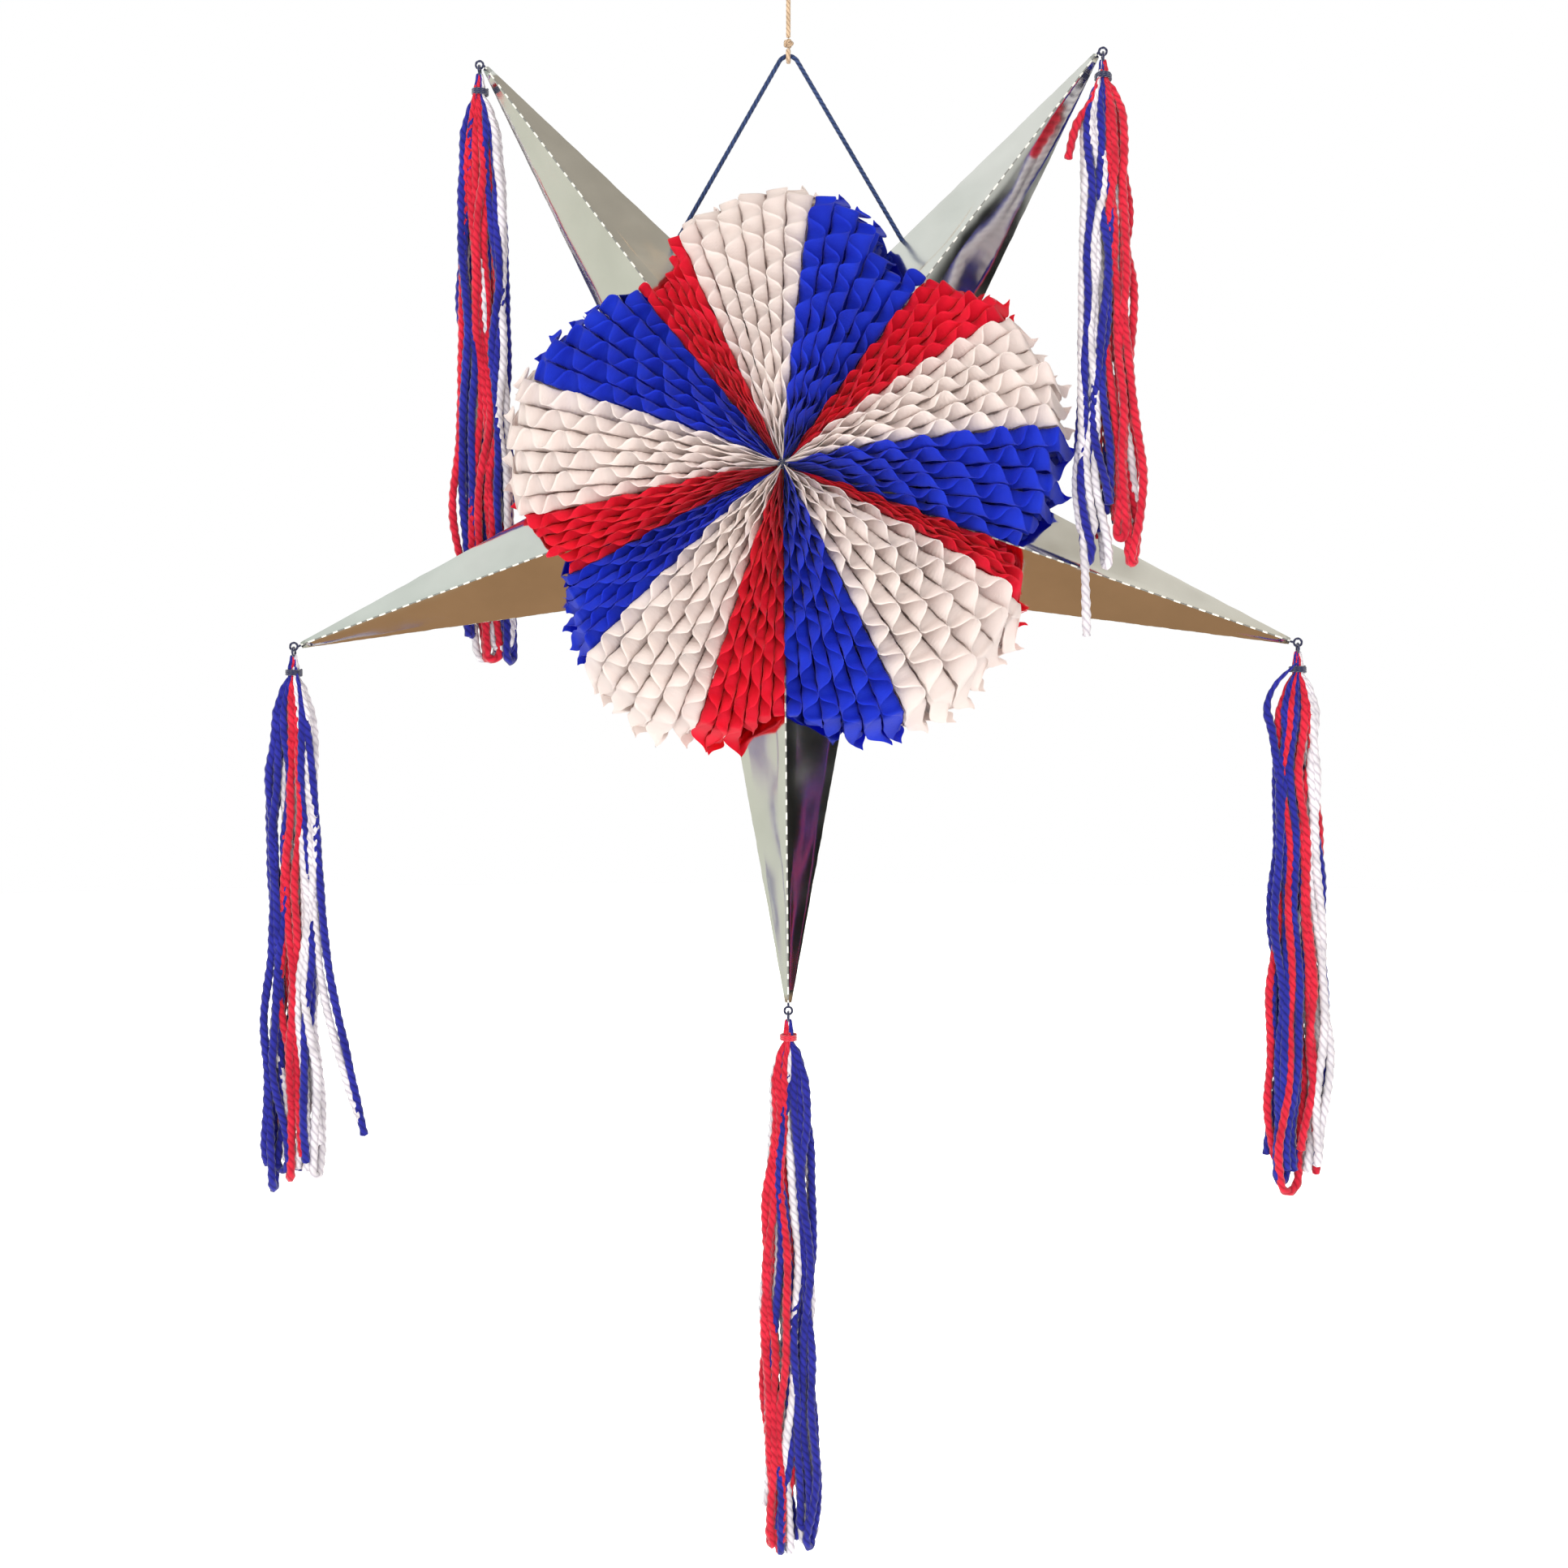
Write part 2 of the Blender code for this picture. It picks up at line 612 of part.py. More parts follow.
def make_tassel(tip):
    rise = 2 * THREAD_RADIUS + GAP
    drop = 2 * LINK_RADIUS - rise
    bm = bmesh.new()
    torus(bm, LINK_RADIUS, THREAD_RADIUS, Vector((1, 0, 0)), (0, 0, rise - LINK_RADIUS), steps=20)
    hung(add_object(f"tassel_link_{tip}", bm, "navy_thread", smooth=True), tip, 0)

    bm = bmesh.new()
    tassel_skirt(bm, TASSEL_LENGTH[tip])
    skirt = add_object(f"tassel_{tip}", bm, "yarn", smooth=True)
    hung(skirt, tip, drop)
    bm = bmesh.new()
    rod(bm, EYELET_RADIUS, (0, -TASSEL_NECK, 0), (0, TASSEL_NECK, 0), segments=16)
    eyelet = add_object(f"eyelet_{tip}", bm)
    hung(eyelet, tip, drop)
    cut(skirt, eyelet)

    bm = bmesh.new()
    low, high = WRAP_SPAN
    rod(bm, TASSEL_NECK + GAP + WRAP_THICKNESS, (0, 0, -high), (0, 0, -low), segments=20)
    wrap = add_object(f"tassel_wrap_{tip}", bm, "red_thread" if tip == "bottom" else "navy_thread")
    hung(wrap, tip, drop)
    bm = bmesh.new()
    rod(bm, TASSEL_NECK + GAP, (0, 0, -2 * high), (0, 0, 0), segments=20)
    bore = add_object(f"wrap_bore_{tip}", bm)
    hung(bore, tip, drop)
    cut(wrap, bore)


def main():
    make_string()
    make_bridle()
    make_box()
    make_flap()
    for tip, angle in TIPS.items():
        make_cone(tip, angle)
        make_tip_loop(tip, angle)
        make_tassel(tip)
    make_tissue()


main()
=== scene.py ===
# %% [markdown]
# # A hanging star pinata
# The real object is a paper box full of candy, dressed as a star: five mirror-card cones stand round
# the box, a rosette of honeycomb tissue hides it, and a yarn tassel hangs from every tip.
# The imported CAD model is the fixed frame: it gives each piece its place and the joints that it moves
# on. These cells dress that frame, one piece and one finish at a time.

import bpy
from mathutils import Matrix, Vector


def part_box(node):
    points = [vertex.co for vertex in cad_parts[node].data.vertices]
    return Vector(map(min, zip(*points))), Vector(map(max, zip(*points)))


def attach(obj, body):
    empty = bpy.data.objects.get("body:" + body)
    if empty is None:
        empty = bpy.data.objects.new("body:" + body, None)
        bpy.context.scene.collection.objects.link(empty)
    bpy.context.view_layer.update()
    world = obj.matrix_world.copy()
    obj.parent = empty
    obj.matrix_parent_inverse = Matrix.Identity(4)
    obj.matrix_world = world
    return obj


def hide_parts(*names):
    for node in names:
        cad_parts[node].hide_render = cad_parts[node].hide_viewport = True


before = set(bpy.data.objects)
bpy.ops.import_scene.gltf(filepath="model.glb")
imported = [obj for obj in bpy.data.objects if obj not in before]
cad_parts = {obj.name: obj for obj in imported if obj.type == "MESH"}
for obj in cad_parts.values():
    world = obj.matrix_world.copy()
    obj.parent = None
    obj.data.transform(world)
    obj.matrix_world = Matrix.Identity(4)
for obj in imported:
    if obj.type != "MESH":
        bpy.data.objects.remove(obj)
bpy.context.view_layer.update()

import math
import random

import bmesh
import bpy
import numpy as np
from mathutils import Matrix, Vector

# %% [markdown]
# ## Sizes that the pieces share
# The star's centre lies straight below the hook. Its plane is XZ and its front faces -Y. The sizes
# repeat the CAD source, so that a new piece lands where its solid lies.

# %% Sizes and directions
STAR_Z = -0.321
TIPS = {"top_left": 126, "top_right": 54, "left": 198, "right": 342, "bottom": 270}
LOBES = {"top": 90, "right": 18, "lower_right": 306, "lower_left": 234, "left": 162}
COLOURS = ("red", "white", "blue")
CENTRE = Vector((0, 0, STAR_Z))


def direction(angle):
    """The unit vector in the star's plane at an angle in degrees, from +X towards +Z."""
    return Vector((math.cos(math.radians(angle)), 0, math.sin(math.radians(angle))))


def star_point(angle, radius, y=0.0):
    """A point at that angle and distance from the star's axis."""
    return CENTRE + direction(angle) * radius + Vector((0, y, 0))


print("star centre", tuple(CENTRE), "tips at", TIPS)

# %% [markdown]
# ## Camera
# The star hangs above eye level: the camera is level, a little lower than the star's centre and
# about a metre away, so the lower facets of the side cones show.

# %% Camera
VIEW_DISTANCE = 1.02
VIEW_WIDTH = 0.905
VIEW_HEIGHT = -0.495
SIDE_STEP = 3.0
SIDE_SHIFT = -0.0025

lens_data = bpy.data.cameras.new("camera")
camera = bpy.data.objects.new("camera", lens_data)
bpy.context.scene.collection.objects.link(camera)
bpy.context.scene.camera = camera
lens_data.sensor_width = 36
lens_data.lens = 36 * VIEW_DISTANCE / VIEW_WIDTH
turn = math.radians(SIDE_STEP)
side_place = VIEW_DISTANCE * math.sin(turn) + SIDE_SHIFT
camera.location = (side_place, -VIEW_DISTANCE * math.cos(turn), VIEW_HEIGHT)
camera.rotation_euler = (math.pi / 2, 0, turn)
bpy.context.scene.view_settings.view_transform = "Standard"
print("lens", round(lens_data.lens, 1), "mm at", [round(c, 3) for c in camera.location])

# %% [markdown]
# ## Node helpers
# Every finish is a small node tree. These helpers add a node, wire it and set its constants, so a
# finish reads as a recipe.

# %% Node helpers


class Tree:
    """A node tree with short calls for adding nodes and links."""

    def __init__(self, tree):
        self.tree = tree

    def add(self, kind, links=(), **settings):
        """Adds a node. Settings name attributes, or sockets by their number as in0, in1."""
        node = self.tree.nodes.new(kind)
        for key, value in settings.items():
            if key.startswith("in") and key[2:].isdigit():
                node.inputs[int(key[2:])].default_value = value
            else:
                setattr(node, key, value)
        for socket, source in links:
            self.tree.links.new(source, node.inputs[socket])
        return node

    def math(self, operation, a, b=None):
        """A Math node of two sockets or numbers."""
        node = self.tree.nodes.new("ShaderNodeMath")
        node.operation = operation
        for index, value in enumerate((a, b)):
            if value is None:
                continue
            if isinstance(value, (int, float)):
                node.inputs[index].default_value = value
            else:
                self.tree.links.new(value, node.inputs[index])
        return node.outputs[0]

    def ramp(self, factor, stops):
        """A Color Ramp with (position, colour) stops."""
        node = self.tree.nodes.new("ShaderNodeValToRGB")
        while len(node.color_ramp.elements) < len(stops):
            node.color_ramp.elements.new(0.5)
        for element, (position, colour) in zip(node.color_ramp.elements, stops):
            element.position = position
            element.color = (*colour, 1)
        self.tree.links.new(factor, node.inputs[0])
        return node.outputs[0]

    def mix(self, factor, a, b, blend="MIX"):
        """A colour Mix node of sockets or colours."""
        node = self.tree.nodes.new("ShaderNodeMix")
        node.data_type = "RGBA"
        node.blend_type = blend
        for index, value in ((0, factor), (6, a), (7, b)):
            if isinstance(value, (int, float)):
                node.inputs[index].default_value = value
            elif isinstance(value, tuple):
                node.inputs[index].default_value = (*value, 1)
            else:
                self.tree.links.new(value, node.inputs[index])
        return node.outputs[2]

    def noise(self, **settings):
        """A Noise Texture in the piece's own space."""
        place = self.add("ShaderNodeTexCoord")
        return self.add("ShaderNodeTexNoise", [("Vector", place.outputs["Object"])], **settings)

    def group(self, name, **values):
        """A node group, with its inputs set by name: an underscore stands for a space."""
        node = self.add("ShaderNodeGroup", node_tree=bpy.data.node_groups[name])
        for title, value in values.items():
            node.inputs[title.replace("_", " ")].default_value = value
        return node

    def cloudy(self, scale, dark, light):
        """The shared cloudy tone, between two colours."""
        return self.group("cloudy_tone", Scale=scale, Dark=(*dark, 1), Light=(*light, 1))

    def principled(self, links, **values):
        """A Principled BSDF, with its other inputs set by name: an underscore stands for a space."""
        node = self.add("ShaderNodeBsdfPrincipled", links)
        for title, value in values.items():
            node.inputs[title.replace("_", " ")].default_value = value
        return node


def new_group(name, inputs, outputs):
    """A shader node group with named sockets; returns its tree helper, input node and output node."""
    group = bpy.data.node_groups.new(name, "ShaderNodeTree")
    for title, kind, value in inputs:
        socket = group.interface.new_socket(title, in_out="INPUT", socket_type=kind)
        socket.default_value = value
    for title, kind in outputs:
        group.interface.new_socket(title, in_out="OUTPUT", socket_type=kind)
    tree = Tree(group)
    return tree, tree.add("NodeGroupInput"), tree.add("NodeGroupOutput")


def new_material(name):
    """A node material with nothing in it but its output."""
    material = bpy.data.materials.new(name)
    material.use_nodes = True
    material.node_tree.nodes.clear()
    tree = Tree(material.node_tree)
    return material, tree, tree.add("ShaderNodeOutputMaterial")


print("node helpers ready")

# %% [markdown]
# ## Shared effects
# Paper, yarn and card all have slow, cloudy changes of tone, so that effect is a group which each
# finish uses at its own scale. The second group is the twist of plied yarn: slanting ridges from the
# piece's own UV map, where U runs along the yarn in metres and V goes once round it, and a mask of
# the low grooves between the ridges, which the fibre finish uses for painted shade.

# %% Group: cloudy tone
tree, given, result = new_group(
    "cloudy_tone",
    [
        ("Scale", "NodeSocketFloat", 30.0),
        ("Dark", "NodeSocketColor", (0, 0, 0, 1)),
        ("Light", "NodeSocketColor", (1, 1, 1, 1)),
    ],
    [("Color", "NodeSocketColor"), ("Mask", "NodeSocketFloat")],
)
cloud = tree.noise(in3=4.0)
tree.tree.links.new(given.outputs["Scale"], cloud.inputs["Scale"])
mask = tree.ramp(cloud.outputs[0], [(0.32, (0, 0, 0)), (0.68, (1, 1, 1))])
tone = tree.mix(mask, given.outputs["Dark"], given.outputs["Light"])
tree.tree.links.new(tone, result.inputs["Color"])
tree.tree.links.new(mask, result.inputs["Mask"])
print("group", tree.tree.name)

# %% Group: plied twist
tree, given, result = new_group(
    "plied_twist_and_groove_shade",
    [
        ("Turns per metre", "NodeSocketFloat", 300.0),
        ("Plies", "NodeSocketFloat", 3.0),
        ("Hair", "NodeSocketFloat", 0.35),
    ],
    [("Height", "NodeSocketFloat"), ("Groove shade", "NodeSocketFloat")],
)
uv = tree.add("ShaderNodeUVMap", uv_map="along")
split = tree.add("ShaderNodeSeparateXYZ", [(0, uv.outputs[0])])
turns = tree.math("MULTIPLY", split.outputs[0], given.outputs["Turns per metre"])
round_it = tree.math("MULTIPLY", split.outputs[1], given.outputs["Plies"])
angle = tree.math("MULTIPLY", tree.math("ADD", turns, round_it), 2 * math.pi)
ridge = tree.math("MULTIPLY_ADD", tree.math("SINE", angle), 0.5)
tree.tree.nodes[-1].inputs[2].default_value = 0.5
hair = tree.noise(in2=2600.0, in3=3.0)
hairy = tree.math("MULTIPLY", hair.outputs[0], given.outputs["Hair"])
height = tree.math("ADD", ridge, hairy)
# painted shade mask: strongest in the low grooves between the plies
groove = tree.math("POWER", tree.math("SUBTRACT", 1.0, ridge), 3.0)
tree.tree.links.new(height, result.inputs["Height"])
tree.tree.links.new(groove, result.inputs["Groove shade"])
print("group", tree.tree.name)

# %% [markdown]
# ## Yarn, thread, cord and string
# All of these are twisted fibre: matte, with a soft sheen, and with painted shade that darkens the
# grooves between plies. One recipe makes them all, with the colour, the painted groove shade, the
# twist and the hairiness of each.

# %% Finish: fibre


def fibre(name, colour, groove_shade_colour, turns, hair=0.35, sheen=0.5):
    """A twisted-fibre finish, with painted shade darkening the grooves between plies."""
    material, tree, out = new_material(name)
    twist = tree.group("plied_twist_and_groove_shade", Turns_per_metre=turns, Hair=hair)
    dark, light = [c * 0.78 for c in colour], [min(1, c * 1.12 + 0.004) for c in colour]
    cloud = tree.cloudy(90.0, dark, light)
    # painted shade: the grooves between plies are darkened towards the groove shade colour
    groove_shade_share = tree.math("MULTIPLY", twist.outputs["Groove shade"], 0.7)
    toned = tree.mix(groove_shade_share, cloud.outputs["Color"], groove_shade_colour)
    ply_bump = tree.add("ShaderNodeBump", [("Height", twist.outputs["Height"])], in0=0.5, in1=0.0004)
    shader = tree.principled(
        [("Base Color", toned), ("Normal", ply_bump.outputs[0])],
        Roughness=0.88, Sheen_Weight=sheen, Sheen_Roughness=0.5, Specular_IOR_Level=0.2,
    )
    tree.tree.links.new(shader.outputs[0], out.inputs[0])
    return material


# the second colour of each fibre is the painted shade in its grooves
FIBRES = {
    "yarn_red": fibre("yarn_red", (0.52, 0.008, 0.03), (0.22, 0.0, 0.01), 200, hair=0.6, sheen=0.25),
    "yarn_white": fibre("yarn_white", (0.60, 0.57, 0.61), (0.30, 0.27, 0.33), 200, hair=0.6, sheen=0.25),
    "yarn_blue": fibre("yarn_blue", (0.012, 0.014, 0.24), (0.003, 0.003, 0.07), 200, hair=0.6, sheen=0.2),
    "thread_navy": fibre("thread_navy", (0.022, 0.026, 0.075), (0.004, 0.004, 0.018), 420),
    "thread_red": fibre("thread_red", (0.55, 0.015, 0.04), (0.22, 0.0, 0.01), 420),
    "bridle_cord": fibre("bridle_cord", (0.022, 0.045, 0.135), (0.003, 0.005, 0.02), 300, sheen=0.3),
    "tan_string": fibre("tan_string", (0.50, 0.36, 0.24), (0.20, 0.12, 0.07), 300, sheen=0.3),
}
print("fibres:", sorted(FIBRES))

# %% [markdown]
# ## Tubes
# String, thread, cord and yarn are all tubes along a path. A flat grid is rolled round the path: its
# first direction runs along, its second goes round. The seam is welded and each end is drawn
# together into a pole, so the tube is closed. The grid's rows give the UV map that the twist reads.

# %% Helper: roll a grid into a tube
WELD = 1e-7
CURVE_STEPS = 12


def carried_frames(points, closed):
    """Two directions across the path at each point, carried along it without spinning."""
    ahead = np.roll(points, -1, 0) - np.roll(points, 1, 0)
    if not closed:
        ahead[0], ahead[-1] = points[1] - points[0], points[-1] - points[-2]
    ahead /= np.linalg.norm(ahead, axis=1)[:, None]
    guess = np.array((0.0, 1.0, 0.0)) if abs(ahead[0][1]) < 0.8 else np.array((1.0, 0.0, 0.0))
    across = np.zeros_like(points)
    for i, way in enumerate(ahead):
        guess = guess - way * guess.dot(way)
        guess = guess / np.linalg.norm(guess)
        across[i] = guess
    return across, np.cross(ahead, across)


def roll_tube(bm, points, radius, sides=8, closed=False, plies=0, turns=0.0, groove=0.0):
    """Rolls a grid round the path. radius is a number or one for each point; plies twist round it."""
    points = np.array([tuple(p) for p in points], float)
    if closed:
        points = np.vstack([points, points[:1]])
    rings = len(points)
    loop = points[:-1] if closed else points
    across, up = carried_frames(loop, closed)
    if closed:
        across, up = np.vstack([across, across[:1]]), np.vstack([up, up[:1]])
    run = np.concatenate([[0], np.cumsum(np.linalg.norm(np.diff(points, axis=0), axis=1))])
    thick = np.broadcast_to(np.array(radius, float), (rings,))
    phi = 2 * np.pi * np.arange(sides + 1) / sides
    twist = 2 * np.pi * run * turns
    wave = np.ones((rings, sides + 1))
    if plies:
        wave = 1 + groove * np.cos(plies * phi[None, :] - twist[:, None])
    reach = thick[:, None] * wave
    place = (
        points[:, None, :]
        + across[:, None, :] * (reach * np.cos(phi)[None, :])[..., None]
        + up[:, None, :] * (reach * np.sin(phi)[None, :])[..., None]
    )
    made = bmesh.ops.create_grid(bm, x_segments=rings - 1, y_segments=sides, size=0.5)["verts"]
    where = {}
    for vert in made:
        i = round((vert.co.x + 0.5) * (rings - 1))
        j = round((vert.co.y + 0.5) * sides)
        where[vert] = (i, j)
        vert.co = place[i, j]
    layer = bm.loops.layers.uv.get("along") or bm.loops.layers.uv.new("along")
    faces = {face for vert in made for face in vert.link_faces}
    for face in faces:
        face.smooth = True
        for corner in face.loops:
            i, j = where[corner.vert]
            corner[layer].uv = (run[i], j / sides)
    outer = (0, rings - 1)
    seam = [v for v in made if where[v][1] in (0, sides) or (closed and where[v][0] in outer)]
    ends = [] if closed else [[v for v in made if where[v][0] == end] for end in outer]
    for ring, end in zip(ends, outer):
        bmesh.ops.pointmerge(bm, verts=ring, merge_co=Vector(points[end]))
    bmesh.ops.remove_doubles(bm, verts=[v for v in seam if v.is_valid], dist=WELD)


def add_piece(name, bm, materials):
    """Makes the mesh an object at the origin, with its finishes in order."""
    bmesh.ops.recalc_face_normals(bm, faces=bm.faces[:])
    mesh = bpy.data.meshes.new(name)
    bm.to_mesh(mesh)
    bm.free()
    obj = bpy.data.objects.new(name, mesh)
    bpy.context.scene.collection.objects.link(obj)
    for material in materials:
        mesh.materials.append(material)
    mesh.shade_smooth()
    return obj


def tube_piece(name, path, radius, fibre_name, **settings):
    """A piece that is one rolled tube of one fibre."""
    bm = bmesh.new()
    roll_tube(bm, path, radius, **settings)
    return add_piece(name, bm, [FIBRES[fibre_name]])


def smooth_path(points, count):
    """An even run of points along a Catmull-Rom curve through the given ones."""
    points = [Vector(p) for p in points]
    points = [points[0] * 2 - points[1]] + points + [points[-1] * 2 - points[-2]]
    fine = []
    for a, b, c, d in zip(points, points[1:], points[2:], points[3:]):
        for step in range(CURVE_STEPS):
            t = step / CURVE_STEPS
            square, cube = a * 2 - b * 5 + c * 4 - d, b * 3 - a - c * 3 + d
            fine.append((b * 2 + (c - a) * t + square * t * t + cube * t**3) / 2)
    fine.append(points[-2])
    fine = np.array([tuple(p) for p in fine])
    run = np.concatenate([[0], np.cumsum(np.linalg.norm(np.diff(fine, axis=0), axis=1))])
    even = np.linspace(0, run[-1], count)
    return np.stack([np.interp(even, run, fine[:, k]) for k in range(3)], 1)


print("tube helpers ready")

# %% [markdown]
# ## Hanging string
# The whole star hangs on one thin, twisted string: a loop for the hook, a knot, a short run and an
# eye tied round the bridle. It is pulled straight by the weight, so its path is a straight line. The
# run takes the place of the CAD's string, and the loop, the knots and the eye are separate pieces on it.

# %% Hanging string
STRING_RADIUS = 0.0013
STRING_LOOP_RADIUS = 0.009
STRING_LOOP_Z = -0.0077
TWIST_KNOT_Z = -0.0213
EYE_KNOT_Z = -0.06775
EYE_Z = -0.075
EYE_RADIUS = 0.00305
STRING_TWIST = {"plies": 3, "turns": 300}
RING_TWIST = {"sides": 12, "closed": True, "groove": 0.07, **STRING_TWIST}
string_low, string_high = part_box("hanging_string")
string_path = [(0, 0, string_low.z + (string_high.z - string_low.z) * k / 40) for k in range(41)]


def ring_path(radius, centre, first, second, steps=48):
    """Points round a circle in the plane of two directions."""
    turns = [2 * math.pi * k / steps for k in range(steps)]
    centre, first, second = Vector(centre), Vector(first), Vector(second)
    return [centre + (first * math.cos(t) + second * math.sin(t)) * radius for t in turns]


def knot_path(size, centre, stretch=0.7, steps=72):
    """A trefoil, the shape that a pulled overhand knot takes, about an upright axis."""
    points = []
    for k in range(steps):
        t = 2 * math.pi * k / steps
        reach = size * (1 + 0.45 * math.cos(3 * t)) * 0.55
        rise = size * stretch * 0.62 * math.sin(3 * t)
        points.append(Vector(centre) + Vector((reach * math.cos(2 * t), reach * math.sin(2 * t), rise)))
    return points


def string_piece(name, path, thickness, **settings):
    """A part of the string, of a thickness that is a share of the string's own."""
    return tube_piece(name, path, STRING_RADIUS * thickness, "tan_string", **settings)


hook_ring = ring_path(STRING_LOOP_RADIUS, (0, 0, STRING_LOOP_Z), (1, 0, 0), (0, 0, 1), 80)
eye_ring = ring_path(EYE_RADIUS, (0, 0, EYE_Z), (0, 1, 0), (0, 0, 1))
high_knot, low_knot = knot_path(0.0031, (0, 0, TWIST_KNOT_Z)), knot_path(0.0026, (0, 0, EYE_KNOT_Z))
string_run = string_piece("string_run", string_path, 1, sides=14, groove=0.05, **STRING_TWIST)
string_loop = string_piece("string_loop", hook_ring, 1, **RING_TWIST)
string_eye = string_piece("string_eye_ring", eye_ring, 1, **RING_TWIST)
upper_knot = string_piece("string_upper_knot", high_knot, 0.95, sides=10, closed=True)
lower_knot = string_piece("string_lower_knot", low_knot, 0.85, sides=10, closed=True)

for piece, body, node in (
    (string_run, "string", "hanging_string"),
    (string_loop, "top_loop", "hang_loop"),
    (string_eye, "string", "string_eye"),
    (upper_knot, "knot", "twist_knot"),
    (lower_knot, "string", "eye_knot"),
):
    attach(piece, body)
    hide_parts(node)

# %% [markdown]
# ## Bridle
# A dark twisted cord goes through the upper crease of each upper cone, is knotted inside, and runs up
# over the string's eye. Its ends lie inside the cones, so it leaves the object and goes back into it.

# %% Bridle
BRIDLE_RADIUS = 0.0013
BRIDLE_BEND = 0.006
BRIDLE_TUCK = 0.007
BRIDLE_ALONG_CONE = 0.151
BRIDLE_STEP = 0.0011
BRIDLE_SHARES = (0.02, 0.15, 0.3, 0.45, 0.6, 0.75, 0.9)
TIP_RADIUS = 0.300
TIP_HALF = 0.0021
CONE_BASE = 0.063
CONE_BASE_HALF = 0.045
CONE_SLOPE = (CONE_BASE_HALF - TIP_HALF) / (TIP_RADIUS - CONE_BASE)


def cone_half(along):
    """Half the diagonal of a cone's square section at a distance from the star's axis."""
    return TIP_HALF + CONE_SLOPE * (TIP_RADIUS - along)


def bridle_path():
    """The centreline: inside the left cone, over the string's eye, and into the right cone."""
    angle = TIPS["top_right"]
    hole = star_point(angle, BRIDLE_ALONG_CONE) + direction(angle + 90) * cone_half(BRIDLE_ALONG_CONE)
    bend = Vector((0, 0, EYE_Z - BRIDLE_BEND))
    to_hole = hole - bend
    lean = math.atan2(to_hole.x, -to_hole.z) - math.asin(BRIDLE_BEND / to_hole.length)
    start = bend + Vector((math.cos(lean), 0, math.sin(lean))) * BRIDLE_BEND
    inside = hole - direction(angle + 90) * BRIDLE_TUCK
    half = [inside, inside.lerp(hole, 0.5), hole]
    half += [hole.lerp(start, share) for share in BRIDLE_SHARES]
    for step in range(6):
        turn = lean + (math.pi / 2 - lean) * step / 6
        half.append(bend + Vector((math.cos(turn), 0, math.sin(turn))) * BRIDLE_BEND)
    return half + [Vector((0, 0, EYE_Z))] + [Vector((-p.x, 0, p.z)) for p in reversed(half)]


bridle_line = bridle_path()
bridle_fine = []
for a, b in zip(bridle_line, bridle_line[1:]):
    pieces = max(1, round((b - a).length / BRIDLE_STEP))
    bridle_fine += [a.lerp(b, k / pieces) for k in range(pieces)]
bridle_fine.append(bridle_line[-1])
bridle_twist = {"sides": 12, "plies": 3, "turns": 260, "groove": 0.06}
bridle = tube_piece("bridle", bridle_fine, BRIDLE_RADIUS, "bridle_cord", **bridle_twist)
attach(bridle, "bridle")
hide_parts("bridle_cord")
for side in ("left", "right"):
    low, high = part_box(f"bridle_knot_{side}")
    stopper = knot_path(0.0033, (low + high) / 2)
    knot = tube_piece(f"bridle_stopper_{side}", stopper, BRIDLE_RADIUS, "bridle_cord", sides=10, closed=True)
    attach(knot, "bridle")
    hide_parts(f"bridle_knot_{side}")

# %% [markdown]
# ## Tissue finish
# Tissue is thin enough for light to come through, so each finish mixes a matte surface with a
# translucent one. Fine crinkles give it life, and its tone is cloudy where the dye has run.

# %% Finish: tissue


def tissue(name, colour, shade, glow, through):
    """Thin dyed paper: its colour, its darker tone, its tone with light behind it, its share of glow."""
    material, tree, out = new_material(name)
    cloud = tree.cloudy(45.0, shade, colour)
    crinkle = tree.noise(in2=420.0, in3=5.0, in4=0.6)
    bump = tree.add("ShaderNodeBump", [("Height", crinkle.outputs[0])], in0=0.35, in1=0.0006)
    paper = tree.principled(
        [("Base Color", cloud.outputs["Color"]), ("Normal", bump.outputs[0])],
        Roughness=0.82, Specular_IOR_Level=0.25, Sheen_Weight=0.12,
    )
    light = tree.add("ShaderNodeBsdfTranslucent", [("Normal", bump.outputs[0])], in0=(*glow, 1))
    both = tree.add("ShaderNodeMixShader", [(1, paper.outputs[0]), (2, light.outputs[0])], in0=through)
    tree.tree.links.new(both.outputs[0], out.inputs[0])
    return material


TISSUES = {
    name: tissue(f"tissue_paper_{name}", *tones)
    for name, *tones in (
        ("red", (0.80, 0.014, 0.05), (0.66, 0.008, 0.035), (0.95, 0.02, 0.06), 0.48),
        ("white", (0.86, 0.80, 0.78), (0.80, 0.73, 0.72), (0.94, 0.87, 0.84), 0.52),
        ("blue", (0.014, 0.045, 0.62), (0.010, 0.028, 0.46), (0.016, 0.06, 0.85), 0.42),
    )
}
print("tissues:", sorted(TISSUES))

# %% [markdown]
# ## Honeycomb rosette
# Honeycomb tissue is a stack of sheets glued in narrow lines, each sheet to the one before at every
# other line. Opened round a thread it fans into cells, whose free edges are scalloped, and each
# sheet ends on the rim in one curved horn. Here are 90 sheets, six for each colour of each lobe. Each
# is a grid: one direction runs out from the axis and the other from the sheet's free edge in to the
# box. The grid is bent in waves so that it meets its neighbour at each glue line, and stops short of
# the cones and the box. It leans with its neighbours towards the front, while its rim keeps one angle.

